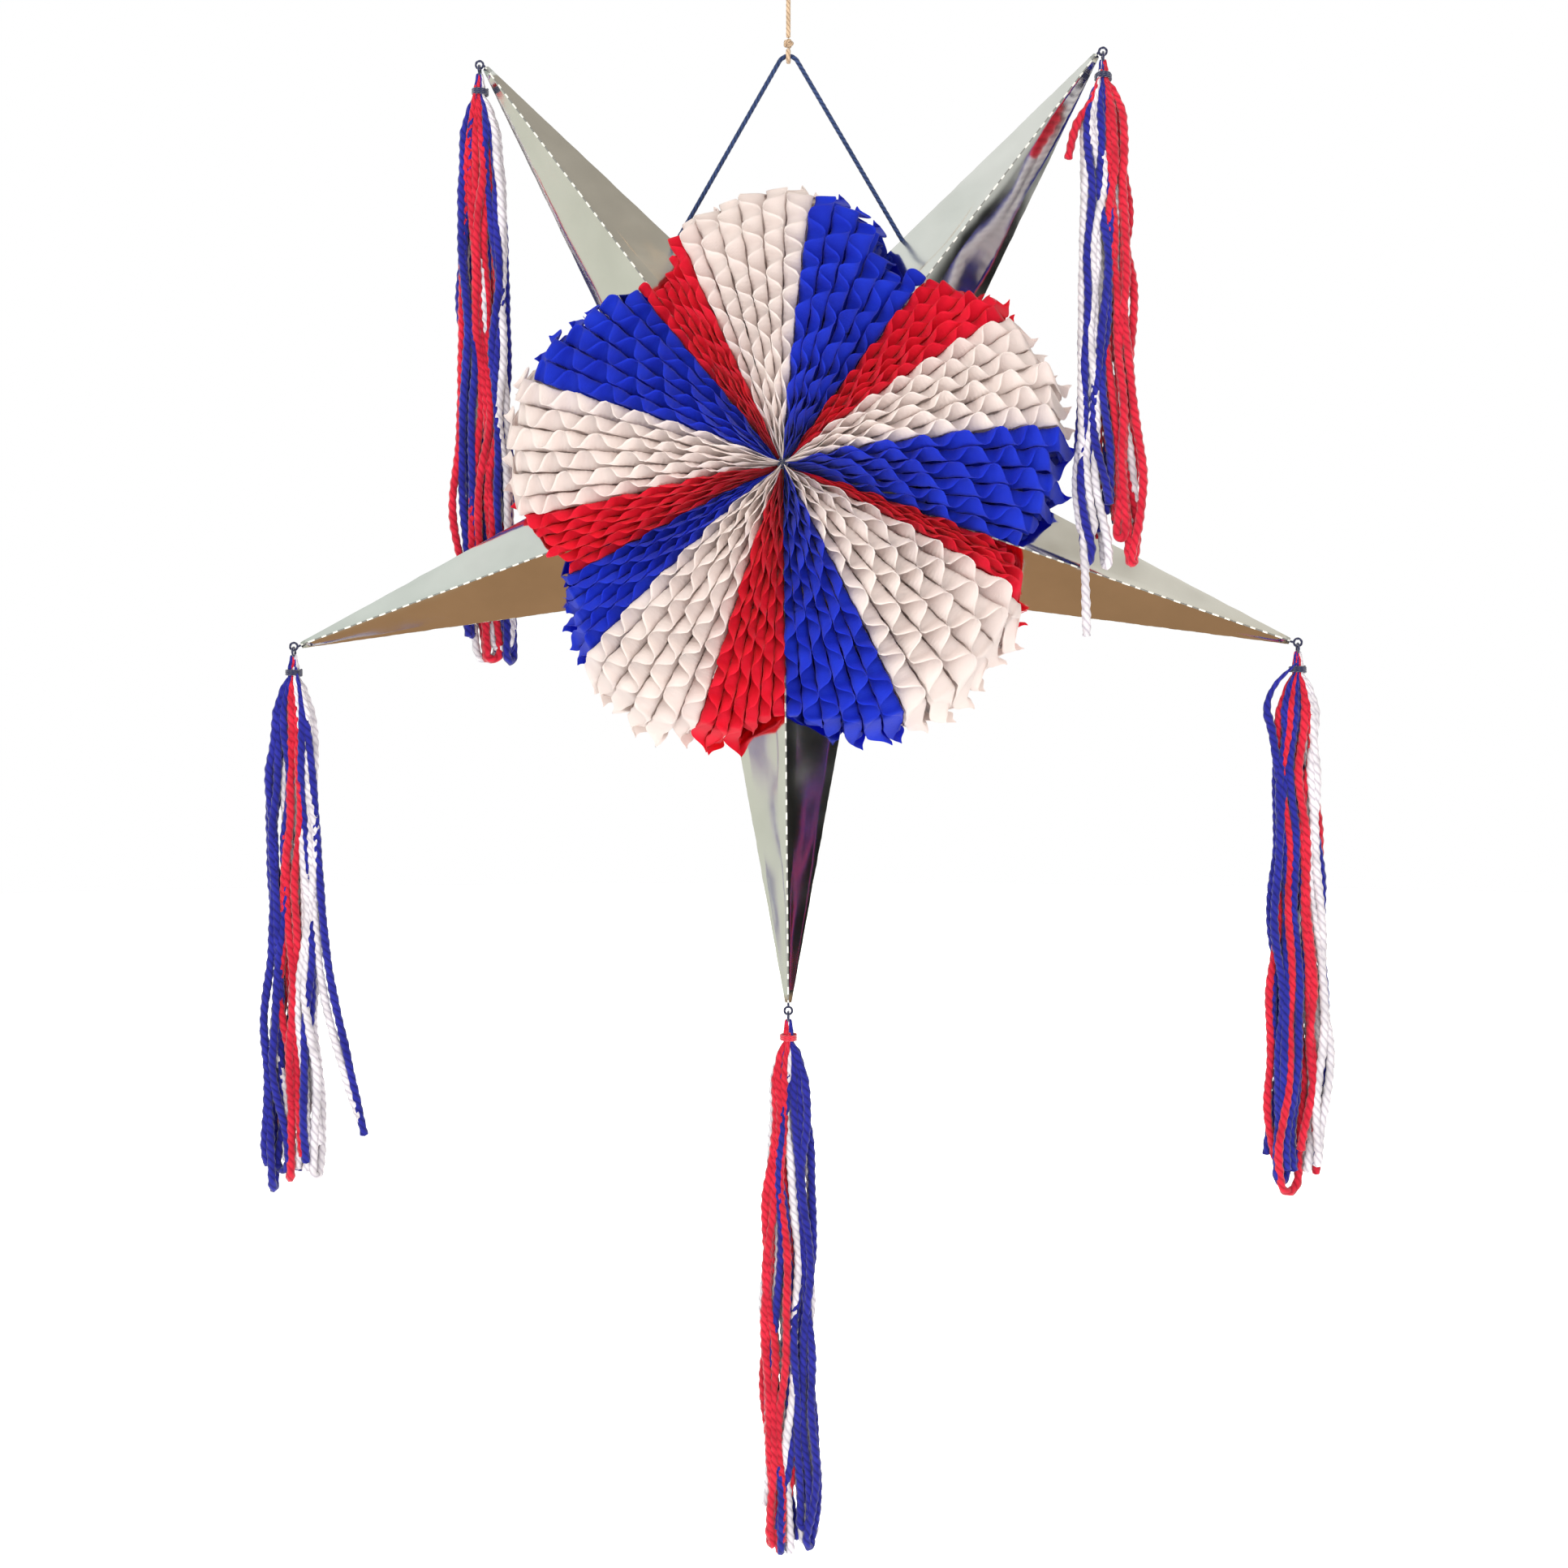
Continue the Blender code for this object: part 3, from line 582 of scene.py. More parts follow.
# %% Rosette sizes
RIM_AT_CONE = 0.146
LOBE_RISE = 0.021
FRONT_DEPTH = 0.086
BACK_DEPTH = 0.0905
LOBE_CREASE = 0.25
PILLOW = 2 / 2.5
DIMPLE = 0.24
DIMPLE_WIDTH = 0.13
BOX_FACE_Y = 0.0458
BOX_REACH = 0.0792
BACK_OPEN_RADIUS = 0.0521
BOX_MARGIN = 0.0014
BOX_GAP = 0.0004
KNOT_FRONT_Y = 0.0570
KNOT_REACH = 0.0072
HUB_START = 0.0016
GLUE_PITCH = 0.0102
GLUE_SLANT = 1.15
GLUE_GRIP = 1.3
RIM_BAND = 0.017
HORN_CURL = 3.2
HORN_TURN = 0.9
NOTCH = 0.0040
BRIDLE_SIDE = 27.7
BRIDLE_ROOM = 0.012
BRIDLE_BAND = 6
CREASE_WIDTH = 0.0045
CONE_ROOM = 0.0012
OUTLINE_STEPS = 180
PAPER = 0.00014
CELL_DEPTH = 0.025
SHEETS = 18
SECTOR = 72
SPACING = SECTOR / SHEETS
# where each angle of the glued core ends up at the rosette's front, as the sheets lean
CORE_ANGLES = [-18, 6, 30, 54, 78, 102, 126, 150, 174, 198, 222, 246, 270, 294, 318, 342]
FRONT_ANGLES = [-19.5, 8.7, 35, 53, 84.4, 115.5, 128.5, 161, 191.5, 206, 222, 252, 270, 296, 334.5, 340.5]
RIM_LEAN = 0.43

chance = random.Random(7)


def front_angle(core):
    """Where a sheet at this angle of the core ends up at the rosette's front."""
    turns = math.floor((core + 18) / 360)
    return np.interp((core + 18) % 360 - 18, CORE_ANGLES, FRONT_ANGLES) + 360 * turns


def lean_share(y):
    """0 at the back, 1 at the front: how far a sheet has leaned over at this depth."""
    t = np.clip((0.05 - y) / 0.11, 0, 1)
    return t * t * (3 - 2 * t)


def near_rim(rim, radius):
    """1 on the rim, falling to 0 over the band inside it."""
    t = np.clip((rim - radius) / RIM_BAND, 0, 1)
    return 1 - t * t * (3 - 2 * t)


def lean_at(y, edge):
    """How far a sheet has leaned: its rim keeps one angle, so that it ends in a point."""
    return lean_share(y) * (1 - edge) + RIM_LEAN * edge


print("sheets:", SHEETS * len(LOBES), "about", SPACING, "degrees apart")

# %% Rosette helper: the inside edge of a sheet


def cone_clearance(core, radius, edge, sign):
    """How far from the star's plane a sheet starts, so that it stays off the nearest cone."""
    depth = 0.0
    for _ in range(12):
        angle = core + (front_angle(core) - core) * lean_at(sign * depth, edge)
        cone = min(TIPS.values(), key=lambda a: abs((angle - a + 180) % 360 - 180))
        off = math.radians((angle - cone + 180) % 360 - 180)
        aside = max(0.0, radius * abs(math.sin(off)) - CREASE_WIDTH)
        half = cone_half(radius * math.cos(off)) + CONE_ROOM
        depth = max(0.0, half - aside)
    return depth


def sheet_reach(share, sign):
    """The rim radius, and the depth at the front or the back, at a share of a lobe's width."""
    wave = math.sin(math.pi * min(max(share, 0), 1))
    rim = RIM_AT_CONE + LOBE_RISE * wave
    full = FRONT_DEPTH if sign < 0 else BACK_DEPTH
    return rim, full * (1 - LOBE_CREASE * (1 - wave))


def lobe_share(angle, left, right):
    """0 at a lobe's left edge, 1 at its right edge."""
    return (left - angle) / (left - right)


print("cone clearance at a lobe's edge", round(cone_clearance(54, 0.12, 0.0, -1) * 1000, 1), "mm")

# %% Rosette helper: one half of a sheet


def add_half_sheet(bm, core, before, after, parity, share_core, share_front, sign, columns, rows, jitter):
    """The front half (sign -1) or back half (sign 1) of a sheet, as a grid bent to its place."""
    share_rim = share_core + (share_front - share_core) * RIM_LEAN
    depth = sheet_reach(share_front if sign < 0 else share_core, sign)[1]
    rim = sheet_reach(share_rim, sign)[0] + jitter[0]
    rim_angle = core + (front_angle(core) - core) * RIM_LEAN
    if abs(abs(rim_angle - 90) - BRIDLE_SIDE) < BRIDLE_BAND:
        rim -= BRIDLE_ROOM
    start = HUB_START if sign < 0 else BACK_OPEN_RADIUS
    low = math.asin((start / rim) ** (1 / PILLOW)) * 2 / math.pi
    outline = []
    for k in range(OUTLINE_STEPS + 1):
        u = low + (1 - low) * k / OUTLINE_STEPS
        across = math.sin(u * math.pi / 2) ** PILLOW
        out = max(0.0, math.cos(u * math.pi / 2)) ** PILLOW
        dimple = DIMPLE * math.exp(-((across / DIMPLE_WIDTH) ** 2)) if sign < 0 else 0
        y_out = depth * out * (1 - dimple)
        radius = across * rim
        y_out *= min(1.0, (rim - radius) / RIM_BAND) ** 1.5
        y_in = cone_clearance(core, radius, near_rim(rim, radius), sign)
        if radius < KNOT_REACH and sign < 0:
            y_in = KNOT_FRONT_Y
        elif radius < BOX_REACH + BOX_MARGIN:
            y_in = BOX_FACE_Y + BOX_GAP
        if y_out < y_in + 0.0002 and radius > BOX_REACH + BOX_MARGIN:
            break
        outline.append((u, radius, y_out, min(y_in, y_out - 0.0001) if y_out > 0.0002 else y_out))
    outline = np.array(outline)
    pick = np.linspace(outline[0, 0], outline[-1, 0], columns + 1)
    radius, y_out, y_in = (np.interp(pick, outline[:, 0], outline[:, k]) for k in (1, 2, 3))
    fine = rows - 3
    deep = (y_out - y_in)[:, None]
    near_edge = np.minimum(CELL_DEPTH, deep * 0.8) * np.arange(fine + 1)[None, :] / fine
    far_in = near_edge[:, -1:] + (deep - near_edge[:, -1:]) * np.arange(1, 4)[None, :] / 3
    below = np.hstack([near_edge, far_in])
    edge = near_rim(rim, radius)[:, None]
    far = radius[:, None]
    drift = 0.5 * np.sin(core * 0.11 + far * 70) + 0.3 * np.sin(core * 0.23 - far * 120 + 2)
    shift = (rim - far) / GLUE_PITCH * math.pi + (jitter[1] + drift) * (1 - edge)
    scallop = (0.5 + 0.5 * parity * np.cos(shift)) ** 3
    notch = NOTCH * scallop * (1 - edge) * np.clip(1 - below / CELL_DEPTH, 0, 1)
    y = sign * (y_out[:, None] - np.minimum(notch, y_out[:, None] * 0.3) - below)
    lean = lean_at(y, edge)
    own, back, ahead = ((c + (front_angle(c) - c) * lean) for c in (core, before, after))
    phase = shift - below * GLUE_SLANT / GLUE_PITCH * math.pi
    pull = np.tanh(GLUE_GRIP * np.cos(phase)) / math.tanh(GLUE_GRIP)
    fade = np.maximum(np.clip((CELL_DEPTH * 1.3 - below) / (CELL_DEPTH * 0.3), 0, 1), edge)
    pull = pull * parity * fade * (1 - edge * edge)
    toward = np.where(pull > 0, ahead, back)
    angle = own + np.abs(pull) * 0.47 * (toward - own)
    crinkle = 0.00022 * np.sin(far * 700 + jitter[2] + y * 260) + 0.0002 * np.sin(y * 420 + jitter[3])
    angle = angle + np.degrees(crinkle * np.minimum(1, far / 0.03) / np.maximum(far, 0.004))
    angle = angle + edge**2 * (jitter[4] + np.degrees(HORN_TURN * y / far))
    rad = np.radians(angle)
    x = np.cos(rad) * far
    z = np.sin(rad) * far + STAR_Z
    made = bmesh.ops.create_grid(bm, x_segments=columns, y_segments=rows, size=0.5)["verts"]
    for vert in made:
        i, j = round((vert.co.x + 0.5) * columns), round((vert.co.y + 0.5) * rows)
        vert.co = (x[i, j], y[i, j], z[i, j])
    return [v for v in made if abs(v.co.y) < 0.0003]


def add_group(lobe, middle, index, colour):
    """The six sheets of one colour in one lobe, as one piece of tissue."""
    left, right = middle + SECTOR / 2, middle - SECTOR / 2
    front_left, front_right = front_angle(left), front_angle(right)
    bm = bmesh.new()
    for step in range(SHEETS // 3):
        number = index * SHEETS // 3 + step
        core = left - (number + 0.5) * SPACING
        jitter = (
            chance.uniform(0.0, 0.006), chance.uniform(-0.3, 0.3),
            chance.uniform(0, 6), chance.uniform(0, 6), HORN_CURL * chance.uniform(-0.2, 1),
        )
        share_front = lobe_share(front_angle(core), front_left, front_right)
        sheet = (core, core + SPACING, core - SPACING, 1 if number % 2 == 0 else -1)
        shares = (lobe_share(core, left, right), share_front)
        inner = []
        for sign, columns, rows in ((-1, 84, 26), (1, 44, 14)):
            inner += add_half_sheet(bm, *sheet, *shares, sign, columns, rows, jitter)
        bmesh.ops.remove_doubles(bm, verts=inner, dist=0.0004)
    tissue_piece = add_piece(f"honeycomb_{colour}_{lobe}", bm, [TISSUES[colour]])
    paper = tissue_piece.modifiers.new("paper", "SOLIDIFY")
    paper.thickness = PAPER
    paper.offset = 0
    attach(tissue_piece, "star")
    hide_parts(f"tissue_{colour}_{lobe}")
    return tissue_piece


rosette = []
for lobe, middle in LOBES.items():
    for index, colour in enumerate(COLOURS):
        rosette.append(add_group(lobe, middle, index, colour))
print("rosette:", len(rosette), "pieces,", sum(len(o.data.polygons) for o in rosette), "faces")

# %% [markdown]
# ## Centre thread
# The sheets are gathered on a dark thread, knotted at the front where they meet.

# %% Centre thread
bm = bmesh.new()
centre_spot = Vector((0, -0.0615, STAR_Z))
path = []
for p in knot_path(0.0030, (0, 0, 0), 0.6):
    path.append(centre_spot + Vector((p.x, p.z, p.y)))
roll_tube(bm, path, 0.0008, sides=8, closed=True)
stem = [(0, -0.0515 - 0.0008 * k, STAR_Z) for k in range(14)]
roll_tube(bm, stem, 0.0011, sides=8, plies=2, turns=300, groove=0.1)
centre_thread = add_piece("centre_thread", bm, [FIBRES["thread_navy"]])
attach(centre_thread, "star")
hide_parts("centre_knot")
print("centre thread", len(centre_thread.data.polygons), "faces")

# %% [markdown]
# ## Mirror card
# The cones are card with a mirror film on its outside. Along each crease a row of short cuts lets it
# fold: where the film has parted the white core shows, and between the cuts a dark line of painted
# shade runs down the crease. The film is not quite flat, so its reflections waver, and handling has
# left it a little hazy.

# %% Finish: mirror film, card inside, card edge
# the cuts along each crease, and a narrow line of painted shade down its middle
tree, given, result = new_group(
    "crease_cuts_and_shade",
    [("Cut", "NodeSocketFloat", 0.0077), ("Width", "NodeSocketFloat", 0.00048)],
    [("Cuts", "NodeSocketFloat"), ("Crease shade", "NodeSocketFloat")],
)
uv = tree.add("ShaderNodeUVMap", uv_map="card")
split = tree.add("ShaderNodeSeparateXYZ", [(0, uv.outputs[0])])
wander = tree.add("ShaderNodeTexNoise", [(0, uv.outputs[0])], in2=70.0, in3=2.0)
along = tree.math("ADD", split.outputs[0], tree.math("MULTIPLY", wander.outputs[0], 0.004))
off_fold = tree.math("ABSOLUTE", split.outputs[1])
beat = tree.math("FRACT", tree.math("DIVIDE", along, given.outputs["Cut"]))
patchy = tree.add("ShaderNodeTexNoise", [(0, uv.outputs[0])], in2=260.0, in3=2.0)
dash = tree.math("LESS_THAN", beat, patchy.outputs[0])
line = tree.math("LESS_THAN", off_fold, given.outputs["Width"])
# painted shade: a narrow dark line down the middle of each crease
crease_shade_line = tree.math("LESS_THAN", off_fold, tree.math("MULTIPLY", given.outputs["Width"], 0.8))
tree.tree.links.new(tree.math("MULTIPLY", dash, line), result.inputs["Cuts"])
tree.tree.links.new(crease_shade_line, result.inputs["Crease shade"])

mirror_film, tree, out = new_material("mirror_film")
cuts = tree.group("crease_cuts_and_shade")
haze = tree.cloudy(26.0, (0.80, 0.81, 0.78), (0.90, 0.91, 0.88))
# painted shade on the crease: near-black and not metal between the cuts
crease_shade_share = tree.math("MULTIPLY", cuts.outputs["Crease shade"], 0.85)
with_crease_shade = tree.mix(crease_shade_share, haze.outputs["Color"], (0.05, 0.05, 0.045))
with_cuts = tree.mix(cuts.outputs["Cuts"], with_crease_shade, (0.62, 0.62, 0.58))
metal = tree.math("SUBTRACT", 1.0, tree.math("MAXIMUM", cuts.outputs["Cuts"], cuts.outputs["Crease shade"]))
waver = tree.noise(in2=22.0, in3=1.5, in4=0.4)
bump = tree.add("ShaderNodeBump", [("Height", waver.outputs[0])], in0=0.30, in1=0.0035)
rough = tree.math("ADD", tree.math("MULTIPLY", haze.outputs["Mask"], 0.07), 0.09)
rough_all = tree.math("MAXIMUM", rough, tree.math("MULTIPLY", tree.math("SUBTRACT", 1.0, metal), 0.7))
shader = tree.add(
    "ShaderNodeBsdfPrincipled",
    [("Base Color", with_cuts), ("Metallic", metal), ("Roughness", rough_all), ("Normal", bump.outputs[0])],
)
tree.tree.links.new(shader.outputs[0], out.inputs[0])


def plain_card(name, dark, light, scale, bump_strength, roughness=0.85):
    """Uncoated card or board: cloudy tone, short fibres and a soft tooth."""
    material, tree, out = new_material(name)
    cloud = tree.cloudy(scale, dark, light)
    place = tree.add("ShaderNodeTexCoord")
    fine = (900.0, 900.0, 260.0)
    stretch = tree.add("ShaderNodeMapping", [("Vector", place.outputs["Object"])], in3=fine)
    fibres = tree.add("ShaderNodeTexNoise", [("Vector", stretch.outputs[0])], in2=1.0, in3=4.0)
    specks = tree.ramp(fibres.outputs[0], [(0.36, (0.55, 0.5, 0.45)), (0.48, (1, 1, 1))])
    toned = tree.mix(0.5, cloud.outputs["Color"], specks, "MULTIPLY")
    bump = tree.add("ShaderNodeBump", [("Height", fibres.outputs[0])], in0=bump_strength, in1=0.0004)
    surface = [("Base Color", toned), ("Normal", bump.outputs[0])]
    shader = tree.principled(surface, Roughness=roughness, Specular_IOR_Level=0.2)
    tree.tree.links.new(shader.outputs[0], out.inputs[0])
    return material


card_inside = plain_card("card_inside", (0.72, 0.70, 0.64), (0.84, 0.82, 0.77), 40.0, 0.3)
card_edge = plain_card("card_edge", (0.78, 0.76, 0.68), (0.90, 0.88, 0.82), 200.0, 0.4)
grey_board = plain_card("grey_board", (0.36, 0.31, 0.25), (0.50, 0.44, 0.36), 30.0, 0.6, 0.9)
flap_board = plain_card("flap_board", (0.44, 0.38, 0.30), (0.58, 0.51, 0.42), 40.0, 0.6, 0.9)
print("card finishes ready")

# %% [markdown]
# ## Cones
# Each cone is one sheet of mirror card folded into a long four-sided spike. A four-sided cone without
# caps gives the shape; its creases are rounded by a small bevel, it is sliced into rows and columns,
# and the facets are warped by a hair, as bent card is. A live wall gives the card its thickness, with
# plain card inside and a pale cut edge.

# %% Cones
from mathutils import noise

CARD = 0.0005
MESH_ROWS = 30
FACET_CUTS = 6
FACET_TURN = 15
RIPPLE = 0.0016
FOLD_WANDER = 0.00035


def slice_piece(bm, spot, normal):
    """Cuts the whole mesh at a plane, keeping both sides."""
    everything = bm.verts[:] + bm.edges[:] + bm.faces[:]
    bmesh.ops.bisect_plane(bm, geom=everything, plane_co=spot, plane_no=normal)


def pointing(axis, at):
    """Turns +Z to an axis in the star's plane, keeps +Y, and moves to a point."""
    side = Vector((0, 1, 0)).cross(axis)
    return Matrix.Translation(at) @ Matrix((side, Vector((0, 1, 0)), axis)).transposed().to_4x4()


def make_mirror_cone(tip, angle):
    """The folded card cone of one tip."""
    axis, tangent, outwards = direction(angle), direction(angle + 90), Vector((0, 1, 0))
    near, far = CONE_BASE, TIP_RADIUS
    bm = bmesh.new()
    bmesh.ops.create_cone(
        bm, cap_ends=False, segments=4, radius1=CONE_BASE_HALF, radius2=TIP_HALF, depth=far - near,
        matrix=pointing(axis, star_point(angle, (near + far) / 2)),
    )
    creases = [e for e in bm.edges if abs((e.verts[0].co - e.verts[1].co).dot(axis)) > 0.1]
    bmesh.ops.bevel(bm, geom=creases, offset=0.0005, segments=2, profile=0.5, affect="EDGES", material=-1)
    for row in range(1, MESH_ROWS):
        slice_piece(bm, star_point(angle, near + (far - near) * row / MESH_ROWS), axis)
    for step in range(1, FACET_CUTS):
        for sign in (-1, 1):
            turn = math.radians(FACET_TURN * step)
            slice_piece(bm, CENTRE, tangent * math.cos(turn) + outwards * math.sin(turn) * sign)
    for vert in bm.verts:
        local = vert.co - CENTRE
        along, aside = local.dot(axis), local.dot(tangent)
        facet = (tangent * math.copysign(1, aside) + outwards * math.copysign(1, local.y)).normalized()
        room = min(abs(aside), abs(local.y)) / max(cone_half(along), 0.001)
        ripple = noise.noise(vert.co * 17 + Vector((angle, 0, 0))) * RIPPLE * min(1, room * 3)
        fold = noise.noise(Vector((along * 120, angle, 3))) * FOLD_WANDER
        bent = facet * ripple * min(1, (far - along) / 0.05 + 0.1)
        vert.co += bent + tangent * fold * min(1, (far - along) / 0.02)
    layer = bm.loops.layers.uv.new("card")
    for face in bm.faces:
        face.smooth = True
        for corner in face.loops:
            local = corner.vert.co - CENTRE
            aside = min(abs(local.dot(tangent)), abs(local.y) * 1.15 + 0.00025)
            corner[layer].uv = (local.dot(axis), aside)
    cone = add_piece(f"mirror_cone_{tip}", bm, [mirror_film, card_inside, card_edge])
    middle = cone.data.polygons[len(cone.data.polygons) // 2]
    spot = Vector(middle.center) - CENTRE
    if middle.normal.dot(spot - axis * spot.dot(axis)) < 0:
        cone.data.flip_normals()
    wall = cone.modifiers.new("card", "SOLIDIFY")
    wall.thickness = CARD
    wall.offset = -1
    wall.material_offset = 1
    wall.material_offset_rim = 2
    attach(cone, "star")
    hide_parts(f"cone_{tip}")
    return cone


cones = [make_mirror_cone(tip, angle) for tip, angle in TIPS.items()]
print("cones:", len(cones), "of", len(cones[0].data.polygons), "faces")

# %% [markdown]
# ## Candy box
# The box and its fill flap are plain grey board, and the CAD nodes already have the right shape, so
# they keep it and only get the board's finish.

# %% Candy box
for node in ("box_front_panel", "box_side_wall", "box_back_panel", "fill_flap"):
    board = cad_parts[node]
    board.data.materials.clear()
    board.data.materials.append(flap_board if node == "fill_flap" else grey_board)
print("box dressed in board")

# %% [markdown]
# ## Tip loops and links
# A dark thread is knotted inside each open tip and comes out as a small loop. A second ring of thread
# hangs in it and carries the tassel. Both are rolled tubes of two plies, in the place of the CAD's.

# %% Tip loops and links
THREAD_RADIUS = 0.00065
TIP_LOOP_RADIUS = 0.0022
TIP_LOOP_STANDOFF = 0.0026
TIP_KNOT_DEPTH = 0.009
LINK_RADIUS = 0.0026
LINK_RISE = 0.0016
TASSEL_LEAN = {"top_left": 6.4, "top_right": -6.4, "left": 0.0, "right": 0.0, "bottom": 0.0}
TASSEL_LENGTH = {"top_left": 0.342, "top_right": 0.297, "left": 0.312, "right": 0.310, "bottom": 0.308}
THREAD_TWIST = {"plies": 2, "turns": 420, "groove": 0.1}
THREAD_RING = {"sides": 10, "closed": True, **THREAD_TWIST}


def tip_bar(tip):
    """The mouth of a tip, the middle of its loop, and the loop's lowest point, where a link hangs."""
    angle = TIPS[tip]
    mouth = star_point(angle, TIP_RADIUS + TIP_LOOP_STANDOFF)
    outer = direction(angle)
    sideways = Vector((math.copysign(1, outer.x), 0, 0)) if tip != "bottom" else outer
    middle = mouth + sideways * TIP_LOOP_RADIUS
    return mouth, middle, middle - Vector((0, 0, TIP_LOOP_RADIUS))


def hang_frame(tip, drop):
    """The place of a hanging piece: leaned about the loop's lowest point, a drop below it."""
    lean = Matrix.Rotation(math.radians(TASSEL_LEAN[tip]), 4, "X")
    return Matrix.Translation(tip_bar(tip)[2]) @ lean @ Matrix.Translation((0, 0, -drop))


for tip, angle in TIPS.items():
    mouth, middle, _ = tip_bar(tip)
    bm = bmesh.new()
    ring = ring_path(TIP_LOOP_RADIUS, middle, (1, 0, 0), (0, 0, 1), 36)
    roll_tube(bm, ring, THREAD_RADIUS, **THREAD_RING)
    inner_end = star_point(angle, TIP_RADIUS - TIP_KNOT_DEPTH)
    stem = [inner_end.lerp(mouth, k / 20) for k in range(21)]
    roll_tube(bm, stem, THREAD_RADIUS, sides=10, **THREAD_TWIST)
    roll_tube(bm, knot_path(0.0016, inner_end), 0.0006, sides=8, closed=True)
    loop = add_piece(f"thread_loop_{tip}", bm, [FIBRES["thread_navy"]])
    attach(loop, "star")
    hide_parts(f"tip_loop_{tip}")
    place = hang_frame(tip, 0)
    flat_ring = ring_path(LINK_RADIUS, (0, 0, LINK_RISE - LINK_RADIUS), (0, 1, 0), (0, 0, 1), 36)
    ring = [place @ p for p in flat_ring]
    link = tube_piece(f"thread_link_{tip}", ring, THREAD_RADIUS, "thread_navy", **THREAD_RING)
    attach(link, f"link_{tip}")
    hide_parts(f"tassel_link_{tip}")
print("loops and links on", len(TIPS), "tips")

# %% [markdown]
# ## Tassels
# A tassel is a hank of yarn: lengths in three colours are tied at the head and left to hang. About
# half of them are joined in pairs by a loop at the bottom, and the rest have cut ends. Each length
# is a rolled tube: pinched under the tie, full below it, with the lumpy edge of textured yarn, and
# it wanders among its neighbours on its way down.

# %% Tassel plan
YARN_RADIUS = 0.0024
TASSEL_NECK = 0.0034
SECTIONS = [
    (-0.0024, 0.0010, 0.0006), (0.0, 0.0024, 0.0010), (0.0026, 0.0027, 0.0012), (0.0060, 0.0034, 0.0031),
    (0.0125, 0.0034, 0.0034), (0.0180, 0.0078, 0.0046), (0.0320, 0.0122, 0.0062), (0.0650, 0.0145, 0.0078),
    (0.1300, 0.0160, 0.0086),
]
# colour at each place across a tassel from its left to its right: front row, middle row, back row
COLOUR_ROWS = {
    "top_left": ("b b r r r r b b w", "b w r b w r b w", "b r w r b b"),
    "top_right": ("b w w b b r r r r", "w b w b r r w r", "b w r b r r"),
    "left": ("b b b r r r w b w", "b b w r r w b w", "b r b w r w"),
    "right": ("b b r b b r r w w", "r b b w r w w b", "b r w b w r"),
    "bottom": ("r r b r b w b b b", "w r w b r b w b", "r b w b r w"),
}
NAMES = {"r": "red", "w": "white", "b": "blue"}
# how far to its right a tassel's strands may go, where a cone stands beside it
SIDE_ROOM = {"top_left": 0.0115}
FREE_ROOM = 0.03
# strands that stray from a bundle: colour, then (sideways, below the head) points
STRAYS = {
    "top_right": [
        ("red", [(-0.001, 0.006), (-0.007, 0.024), (-0.016, 0.040), (-0.021, 0.060)]),
        ("white", [(-0.002, 0.006), (-0.011, 0.070), (-0.015, 0.200), (-0.014, 0.335)]),
    ],
    "left": [
        ("blue", [(0.002, 0.006), (0.011, 0.060), (0.020, 0.170), (0.033, 0.235), (0.043, 0.280)]),
        ("white", [(0.001, 0.006), (0.008, 0.070), (0.016, 0.180), (0.030, 0.240), (0.041, 0.272)]),
    ],
    "right": [
        ("blue", [
            (-0.001, 0.006), (-0.013, 0.018), (-0.018, 0.032),
            (-0.014, 0.052), (-0.007, 0.120), (-0.010, 0.250),
        ]),
    ],
    "top_left": [
        ("red", [(-0.002, 0.006), (-0.010, 0.070), (-0.016, 0.200), (-0.022, 0.250), (-0.016, 0.290)]),
    ],
    "bottom": [("red", [(0.001, 0.006), (-0.008, 0.080), (-0.012, 0.200), (-0.005, 0.306)])],
}


def spread(below, length):
    """Half width and half thickness of a tassel's outline at a distance below its eyelet."""
    full, end = (0.0185, 0.0090), (0.0160, 0.0080)
    rows = SECTIONS + [(length * 0.68, *full), (length * 0.92, *full), (length, *end)]
    at, wide, thick = zip(*rows)
    return np.interp(below, at, wide), np.interp(below, at, thick)


def wander(rng, below, size):
    """A slow sideways drift down a strand."""
    drift = np.zeros_like(below)
    for wave in (0.21, 0.12, 0.07):
        reach = size * wave / 0.21 * rng.uniform(0.4, 1)
        drift += reach * np.sin(2 * np.pi * below / wave + rng.uniform(0, 6.3))
    return drift * np.clip((below - 0.015) / 0.05, 0, 1)


print("strands in a tassel:", [len(" ".join(rows).split()) for rows in COLOUR_ROWS.values()])

# %% Tassel strands
STRAND_STEP = 0.0009


def strand_leg(rng, home, length, end, side_room):
    """A strand from the tassel's head to its own end, about the eyelet, as (x, y, z) rows."""
    below = np.arange(-0.0012, end, STRAND_STEP)
    wide, thick = spread(below, length)
    gather = np.clip((below - 0.004) / 0.05, 0, 1)
    room = YARN_RADIUS * (0.35 + 0.65 * gather)
    x = home[0] * np.maximum(wide - room, 0.0004) + wander(rng, below, 0.0034)
    x = np.minimum(x, side_room)
    side = np.maximum(thick - room * 1.12, 0.0002)
    y = np.clip(home[1] * side + wander(rng, below, 0.0016), -side, side)
    return np.stack([x, y, -below], 1)


def yarn_thickness(path):
    """Thin where the hank is tied, full below, with the small lumps of textured yarn."""
    below = -path[:, 2]
    run = np.arange(len(path)) * STRAND_STEP
    full = 0.34 + 0.66 * np.clip((below - 0.010) / 0.026, 0, 1) ** 0.8
    return YARN_RADIUS * full * (1 + 0.05 * np.sin(run * 2 * np.pi / 0.031))


